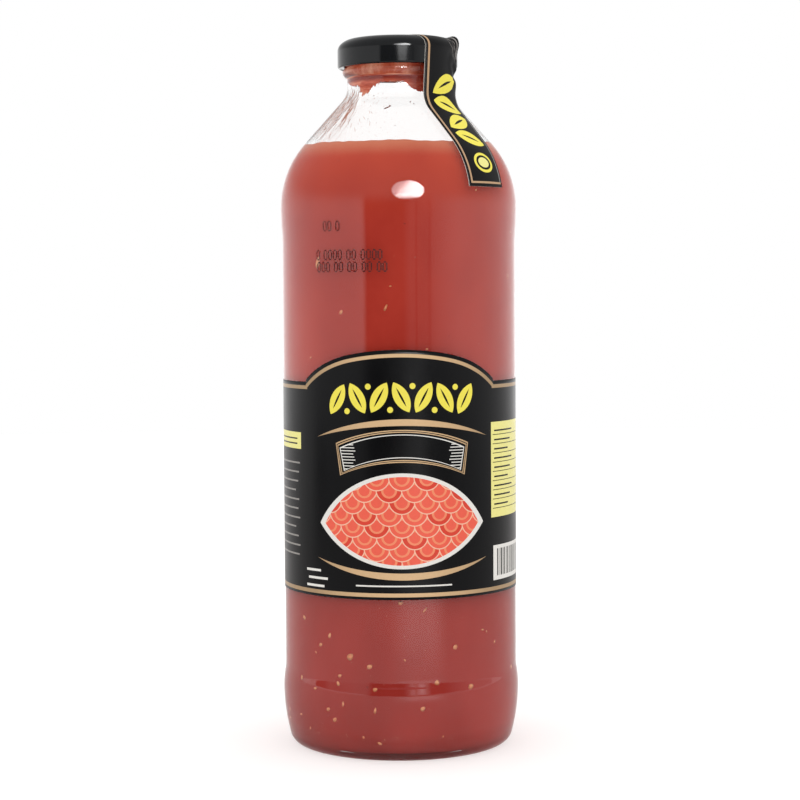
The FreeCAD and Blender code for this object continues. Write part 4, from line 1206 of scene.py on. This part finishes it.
def label_layers():
    """The label's print: a black ground with gold border lines, and all that lies on it."""
    layers = []

    def paint(outline, ink, field=None):
        layers.append((outline, ink, field))
        return len(layers)

    paint(rectangle(-label_half, LABEL_BOTTOM, label_half, LABEL_PEAK), "black")
    paint(rectangle(-label_half, LABEL_BOTTOM + 0.9, label_half, LABEL_BOTTOM + 2.2), "gold")
    paint(band(top_edge(1.3), top_edge(2.5)), "gold")
    for part in (garland, crescents, banner, scales, left_panel, right_panel):
        part(paint)
    return layers


def place_label(flat):
    """Flat label points wrapped round the panel; the right end laps over the left."""
    angle = flat[:, 0] / LABEL_RADIUS
    lap_start = along(180.0 - LAP_HALF)
    lift = PAPER * np.clip((flat[:, 0] - lap_start + 2.0) / 2.0, 0, 1)
    return [
        np.column_stack(around(LABEL_RADIUS + lift - depth, angle, flat[:, 1]))
        for depth in (0.0, PAPER - 0.01)
    ]


def make_label():
    """The paper label round the panel, bent along upright lines."""
    outline = [(-label_half, LABEL_BOTTOM), (label_half, LABEL_BOTTOM)] + top_edge(0.0)[::-1]
    step = 1.5
    cuts = [
        ((-label_half + step * i, LABEL_BOTTOM - 1), (-label_half + step * i, LABEL_PEAK + 1))
        for i in range(1, int(2 * label_half / step) + 1)
    ]
    printed_sheet("paper_label", outline, label_layers(), cuts, place_label,
                  print_material("label_print", 0.24, 1.25), ["label"])


# ---------------------------------------------------------------- seal strip

crown_spare = CROWN_RADIUS - EDGE_RADIUS
edge_x = CAP_RADIUS - EDGE_RADIUS
crown_centre = (edge_x - crown_spare * math.cos(CROWN_ANGLE), CAP_TOP - CROWN_RADIUS)
edge_centre = on_arc(crown_centre, crown_spare, CROWN_ANGLE)


def strip_path():
    """The strip's run from the cap's top over its edge, through the air and down the shoulder."""
    out = STRIP_GAP
    hang_x = CAP_RADIUS + out
    bridge_x = hang_x + BRIDGE_RADIUS
    origin = on_arc(shoulder_centre, SHOULDER_RADIUS + out, CONE_SLOPE)
    beside = on_arc(shoulder_centre, SHOULDER_RADIUS + out + BRIDGE_RADIUS, CONE_SLOPE)
    bridge_centre = (bridge_x, beside[1] - (bridge_x - beside[0]) / math.tan(CONE_SLOPE))
    reach = SHOULDER_RADIUS + out
    foot = math.asin((STRIP_END - shoulder_centre[1]) / reach)
    return joined(
        line((0.0, CAP_TOP + out), (crown_centre[0], CAP_TOP + out), 1.0),
        arc(crown_centre, CROWN_RADIUS + out, QUARTER, CROWN_ANGLE, 5.0),
        arc(edge_centre, EDGE_RADIUS + out, CROWN_ANGLE, 0, 5.0),
        line((hang_x, edge_centre[1]), (hang_x, bridge_centre[1]), 1.0),
        arc(bridge_centre, BRIDGE_RADIUS, math.pi, math.pi + CONE_SLOPE, 4.0),
        line(on_arc(bridge_centre, BRIDGE_RADIUS, math.pi + CONE_SLOPE), origin, 1.0),
        arc(shoulder_centre, reach, CONE_SLOPE, foot, 1.5),
    )


strip_run = np.array(strip_path())
strip_marks = np.concatenate(
    [[0.0], np.cumsum(np.hypot(*np.diff(strip_run, axis=0).T))]
)
strip_length = strip_marks[-1] - STRIP_START
strip_crown_mark = crown_centre[0] + CROWN_RADIUS * CROWN_ANGLE


def place_strip(flat):
    """Flat strip points laid on their run: x across, from its middle, and y down from its start."""
    across, down = flat[:, 0], flat[:, 1]
    # Its first edge is an arc round the cap's axis.
    start = np.hypot(STRIP_START, across)
    mark = start + down / strip_length * (strip_marks[-1] - start)
    radius, height = (np.interp(mark, strip_marks, strip_run[:, k]) for k in (0, 1))
    slope_x, slope_z = (
        np.interp(mark, strip_marks, np.gradient(strip_run[:, k], strip_marks)) for k in (0, 1)
    )
    size = np.hypot(slope_x, slope_z)
    lean = -np.tan(STRIP_LEAN) * np.clip(CAP_TOP - height, 0, None)
    # The right side has come loose: it is creased where it hangs and stands up over the edge.
    edge = np.clip((mark - crown_centre[0]) / 3.0, 0, 1)
    crease = np.array([
        0.5 - 2.2 * abs(wobble(a * 0.22 + m * 0.16, m * 0.2 - a * 0.3, 2.0))
        for a, m in zip(across, mark)
    ])
    hanging = np.exp(-(((height - LOOSE_HEIGHT) / 7.5) ** 2))
    loose = edge * hanging * np.clip((across - 1.5) / 4.5, 0, 1)
    raised = 2.0 * np.clip((across - 5.0) / 3.5, 0, 1) ** 2
    raised = raised * np.exp(-(((mark - strip_crown_mark) / 2.4) ** 2))
    turn = math.radians(STRIP_AZIMUTH)
    side = across + lean
    sheets = []
    for depth in (PAPER, 0.0):
        push = depth + loose * (0.3 + 0.7 * crease) + raised
        r = radius - push * slope_z / size
        z = height + push * slope_x / size
        out = np.sqrt(np.maximum(r**2 - side**2, 0.0))
        x = out * math.sin(turn) + side * math.cos(turn)
        y = -out * math.cos(turn) + side * math.sin(turn)
        sheets.append(np.column_stack([x, y, z]))
    return sheets


def strip_layers():
    """The strip's print: a tan border and a generic run of yellow leaves over a yellow disc."""
    half = STRIP_WIDTH / 2
    border = strip_length - 1.1
    layers = [
        (rectangle(-half, 0, half, strip_length), "black", None),
        (rectangle(-half + 1.0, 0, -half + 1.7, border), "gold_line", None),
        (rectangle(half - 1.2, 3, half - 0.75, border), "grey", None),
        (rectangle(-half + 1.0, border - 0.7, half - 0.75, border), "gold_line", None),
    ]
    for _ in range(16):
        place = (random.uniform(3.0, half - 1.4), random.uniform(2.0, 17.0))
        slant = math.radians(90 + random.uniform(-40, 30))
        layers.append((leaf(place, random.uniform(1.5, 4.5), random.uniform(0.2, 0.36), slant),
                       "crease", None))
    for number in range(4):
        place = (0.4, strip_length - 41.5 + 7.6 * number)
        turn = math.radians(24 if number % 2 else -24)
        layers.append((leaf(place, 12.2, 6.2, turn), "yellow", None))
        layers.append((leaf(place, 7.4, 0.9, turn), "black", None))
    disc = (0.6, strip_length - 8.6)
    for half_wide, half_high, ink in ((4.5, 3.7, "yellow"), (3.5, 2.7, "black"),
                                      (2.6, 1.9, "pale_yellow")):
        layers.append((oval(disc, half_wide, half_high), ink, None))
    return layers


def strip_outline():
    """The strip's flat outline, with the creased-in stretch of its right edge under the cap."""
    half = STRIP_WIDTH / 2
    first = math.hypot(STRIP_START, half)
    right = []
    for height, inset in ((238.0, 0.0), (235.0, 0.4), (232.0, 1.2), (229.2, 1.8), (228.0, 2.3),
                          (227.0, 1.0), (222.5, 0.8), (216.0, 0.0)):
        mark = np.interp(-height, -strip_run[:, 1], strip_marks)
        right.append((half - inset, (mark - first) / (strip_marks[-1] - first) * strip_length))
    return [(-half, 0), (half, 0)] + right + [(half, strip_length), (-half, strip_length)]


def make_strip():
    """The seal strip from the cap's top to the shoulder, in small cells so that it can crease."""
    half = STRIP_WIDTH / 2
    cuts = [((-half - 1, y), (half + 1, y)) for y in np.arange(0.7, strip_length, 0.7)]
    cuts += [((x, -1), (x, strip_length + 1)) for x in np.arange(-half + 0.8, half, 0.85)]
    printed_sheet("paper_seal", strip_outline(), strip_layers(), cuts, place_strip,
                  print_material("seal_print", 0.42, 1.27), ["seal_strip"])


# ---------------------------------------------------------------- stage, light, camera

# Brightness of the tent's walls and roof, of what is seen through glass, and the floor's own glow.
TENT_SIDES = 1.3
TENT_TOP = (0.62, 0.62, 0.62)
BEHIND_GLASS = (1.08, 1.08, 1.08)
FLOOR_LIFT = 0.34


def at(degrees):
    """An azimuth as a share of a full turn, 0.5 at the front."""
    return (degrees + 180.0) / 360.0


def turn_of(tree, parts):
    """The azimuth of a place or direction as a share of a full turn."""
    azimuth = maths(tree, "ARCTAN2", parts["X"], product(tree, parts["Y"], -1.0))
    return maths(tree, "ADD", maths(tree, "DIVIDE", azimuth, 2 * math.pi), 0.5)


def greys(tree, turn, stops):
    """Grey levels by azimuth, from (degrees, level) stops."""
    return ramp(tree, turn, [(at(degrees), (level,) * 3) for degrees, level in stops])


def stage_mesh(name, points, faces, material):
    """A part of the studio in metres, which is not part of the bottle."""
    mesh = bpy.data.meshes.new(name)
    mesh.from_pydata(points, [], faces)
    mesh.materials.append(material)
    thing = bpy.data.objects.new(name, mesh)
    bpy.context.scene.collection.objects.link(thing)
    return thing


def glow_material(name):
    """A dark surface that glows; its strength is for the caller to link."""
    material, tree, shader = new_material(name)
    feed(tree, shader, {"Base Color": (0, 0, 0, 1), "Specular IOR Level": 0.0,
                        "Emission Color": (1, 1, 1, 1)})
    return material, tree, shader


def only_mirrored(thing):
    """Shows a part of the studio in reflections alone."""
    thing.visible_camera = False
    thing.visible_diffuse = False
    thing.visible_transmission = False
    thing.visible_shadow = False


def white_stage_floor():
    """A white floor that reads as the backdrop's white, with the bottle's shadow on it, a painted
    pool of light that the glass mirrors and a painted glow under the bottle.
    """
    reach, sunk = 1.6, -0.05 * MM
    edge = [(x, y, sunk) for x, y in oval((0, 0), reach, reach, 64)]
    material, tree, shader = new_material("floor_white")
    path = add(tree, "ShaderNodeLightPath").outputs
    seen = maths(tree, "MAXIMUM", path["Is Camera Ray"], path["Is Transmission Ray"])
    turn = turn_of(tree, xyz(tree))
    place = add(tree, "ShaderNodeTexCoord").outputs["Object"]
    far = add(tree, "ShaderNodeVectorMath", {0: place}, operation="LENGTH").outputs["Value"]
    # Painted pool of light: a stretch of floor in front glows for reflected rays alone, and the
    # glass mirrors it.
    lit = product(tree, smooth(tree, turn, at(-14), at(12)), smooth(tree, turn, at(46), at(27)),
                  smooth(tree, far, 0.12, 0.32), path["Is Glossy Ray"], 0.9)
    # Painted glow: the floor under the bottle glows for diffuse rays alone, standing in for light
    # the glass leads down, and lights the filling's foot.
    under = product(tree, smooth(tree, far, 0.041, 0.037, 0.0, 0.14), path["Is Diffuse Ray"])
    lift = maths(tree, "ADD", product(tree, seen, FLOOR_LIFT), maths(tree, "ADD", lit, under))
    feed(tree, shader, {
        "Base Color": (0.72, 0.70, 0.69, 1), "Roughness": 0.9, "Specular IOR Level": 0.0,
        "Emission Color": (1, 1, 1, 1), "Emission Strength": lift,
    })
    stage_mesh("floor", edge, [list(range(len(edge)))], material)


def studio_world():
    """A white light tent, greyer overhead, with one dark slot where the camera stands."""
    world = bpy.data.worlds.new("light_tent")
    world.use_nodes = True
    bpy.context.scene.world = world
    tree = world.node_tree
    direction = xyz(tree, "Generated")
    tent = greys(tree, turn_of(tree, direction),
                 [(-36, 1.0), (-31, 0.04), (4, 0.05), (11, 0.30), (16, 0.32), (17, 0.08),
                  (18, 0.32), (29, 0.36), (30.3, 0.1), (31.5, 0.48), (45, 0.74), (60, 0.95),
                  (114, 1.0)])
    walls = {0: tent, "Scale": TENT_SIDES}
    walls = add(tree, "ShaderNodeVectorMath", walls, operation="SCALE").outputs[0]
    shine = mixed(tree, smooth(tree, direction["Z"], 0.0, 0.3), walls, TENT_TOP)
    sky = {"Value": direction["Z"], "From Min": -0.1, "From Max": 0.9, "To Min": 0.72,
           "To Max": 1.35}
    sky = add(tree, "ShaderNodeMapRange", sky).outputs[0]
    path = add(tree, "ShaderNodeLightPath").outputs
    room = mixed(tree, path["Is Glossy Ray"], sky, shine)
    seen = maths(tree, "MAXIMUM", path["Is Camera Ray"], path["Is Transmission Ray"])
    backdrop = mixed(tree, path["Is Transmission Ray"], WHITE, BEHIND_GLASS)
    feed(tree, tree.nodes["Background"], {"Color": mixed(tree, seen, room, backdrop)})


def far_window():
    """The window in front that shows as the bright patch on shoulder and cap."""
    azimuth, rise, away, height = math.radians(9.3), math.radians(17.0), 3.0, 0.21
    half_wide, half_high = (away * math.tan(math.radians(angle)) for angle in (16.0, 12.0))
    direction = Vector(around(math.cos(rise), azimuth, math.sin(rise)))
    material, tree, shader = glow_material("window_light")
    place = add(tree, "ShaderNodeTexCoord").outputs["Object"]
    shares = {"Vector": place, "Scale": (1 / half_wide, 1 / half_high, 0.0)}
    shares = add(tree, "ShaderNodeMapping", shares).outputs[0]
    off = add(tree, "ShaderNodeVectorMath", {0: shares}, operation="LENGTH").outputs["Value"]
    parts = add(tree, "ShaderNodeSeparateXYZ", {0: shares}).outputs
    across, up = parts["X"], parts["Y"]
    diagonal = maths(tree, "SUBTRACT", across, product(tree, up, 0.6))
    # A thin slanting bar crosses the pane.
    bar = maths(tree, "SUBTRACT", up, product(tree, across, 0.23))
    bar = maths(tree, "ABSOLUTE", maths(tree, "ADD", bar, 0.13))
    light = product(tree, smooth(tree, off, 1.0, 0.88, 0.0, 26.0),
                    smooth(tree, up, -0.95, -0.4),
                    smooth(tree, diagonal, -0.8, 0.1, 0.25, 1.0),
                    smooth(tree, bar, 0.02, 0.07, 0.55, 1.0))
    feed(tree, shader, {"Emission Strength": light})
    points = [(x, y, 0.0) for x, y in oval((0, 0), half_wide, half_high, 64)]
    pane = stage_mesh("far_window", points, [list(range(64))], material)
    pane.location = Vector((0, 0, height)) + away * direction
    pane.rotation_euler = (-direction).to_track_quat("-Z", "Y").to_euler()
    only_mirrored(pane)


def low_dark_card():
    """A low card bent round in front, dark but for a lit gap, which the lower bulge mirrors."""
    reach, low, high, count = 0.48, 0.026, 0.082, 96
    points = [
        around(reach, math.radians(-88.0 + 184.0 * i / count), height)
        for i in range(count + 1) for height in (low, high)
    ]
    faces = [(2 * i, 2 * i + 2, 2 * i + 3, 2 * i + 1) for i in range(count)]
    material, tree, shader = glow_material("card_black")
    glow = greys(tree, turn_of(tree, xyz(tree)),
                 [(-88, 0.1), (-78, 0.1), (-70, 0.5), (-62, 0.5), (-40, 0.7), (-31, 0.65),
                  (-27, 0.0), (2, 0.0), (6, 0.4), (11, 1.6), (14, 0.9), (19, 2.6), (23, 1.2),
                  (28, 0.05), (40, 0.05), (52, 0.4), (70, 0.7), (96, 0.85)])
    feed(tree, shader, {"Emission Strength": glow})
    only_mirrored(stage_mesh("dark_card", points, faces, material))


def photo_camera():
    """The photograph's viewpoint: just below the shoulder, looking slightly down."""
    pitch = 0.0533
    roll = 0.006
    right = Vector((1, 0, 0))
    up = Vector((0, math.sin(pitch), math.cos(pitch)))
    forward = Vector((0, math.cos(pitch), -math.sin(pitch)))
    across = right * math.cos(roll) - up * math.sin(roll)
    upward = right * math.sin(roll) + up * math.cos(roll)
    data = bpy.data.cameras.new("camera")
    data.lens = 92.99
    data.sensor_width = 36.0
    camera = bpy.data.objects.new("camera", data)
    bpy.context.scene.collection.objects.link(camera)
    turn = Matrix((across, upward, -forward)).transposed()
    camera.matrix_world = Matrix.Translation((0.00017, -0.7163, 0.1568)) @ turn.to_4x4()
    bpy.context.scene.camera = camera


def paint_cad_nodes():
    """Procedural finishes for the CAD nodes that stay."""
    for node, material in (("cap", lacquer_material()), ("cap_gasket", compound_material())):
        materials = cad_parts[node].data.materials
        materials.clear()
        materials.append(material)


photo_camera()
studio_world()
far_window()
low_dark_card()
white_stage_floor()
paint_cad_nodes()
make_glass()
make_filling()
make_seeds()
make_flecks()
make_film()
make_smears()
make_ink_marks()
make_label()
make_strip()

bpy.context.scene.view_settings.view_transform = "Standard"
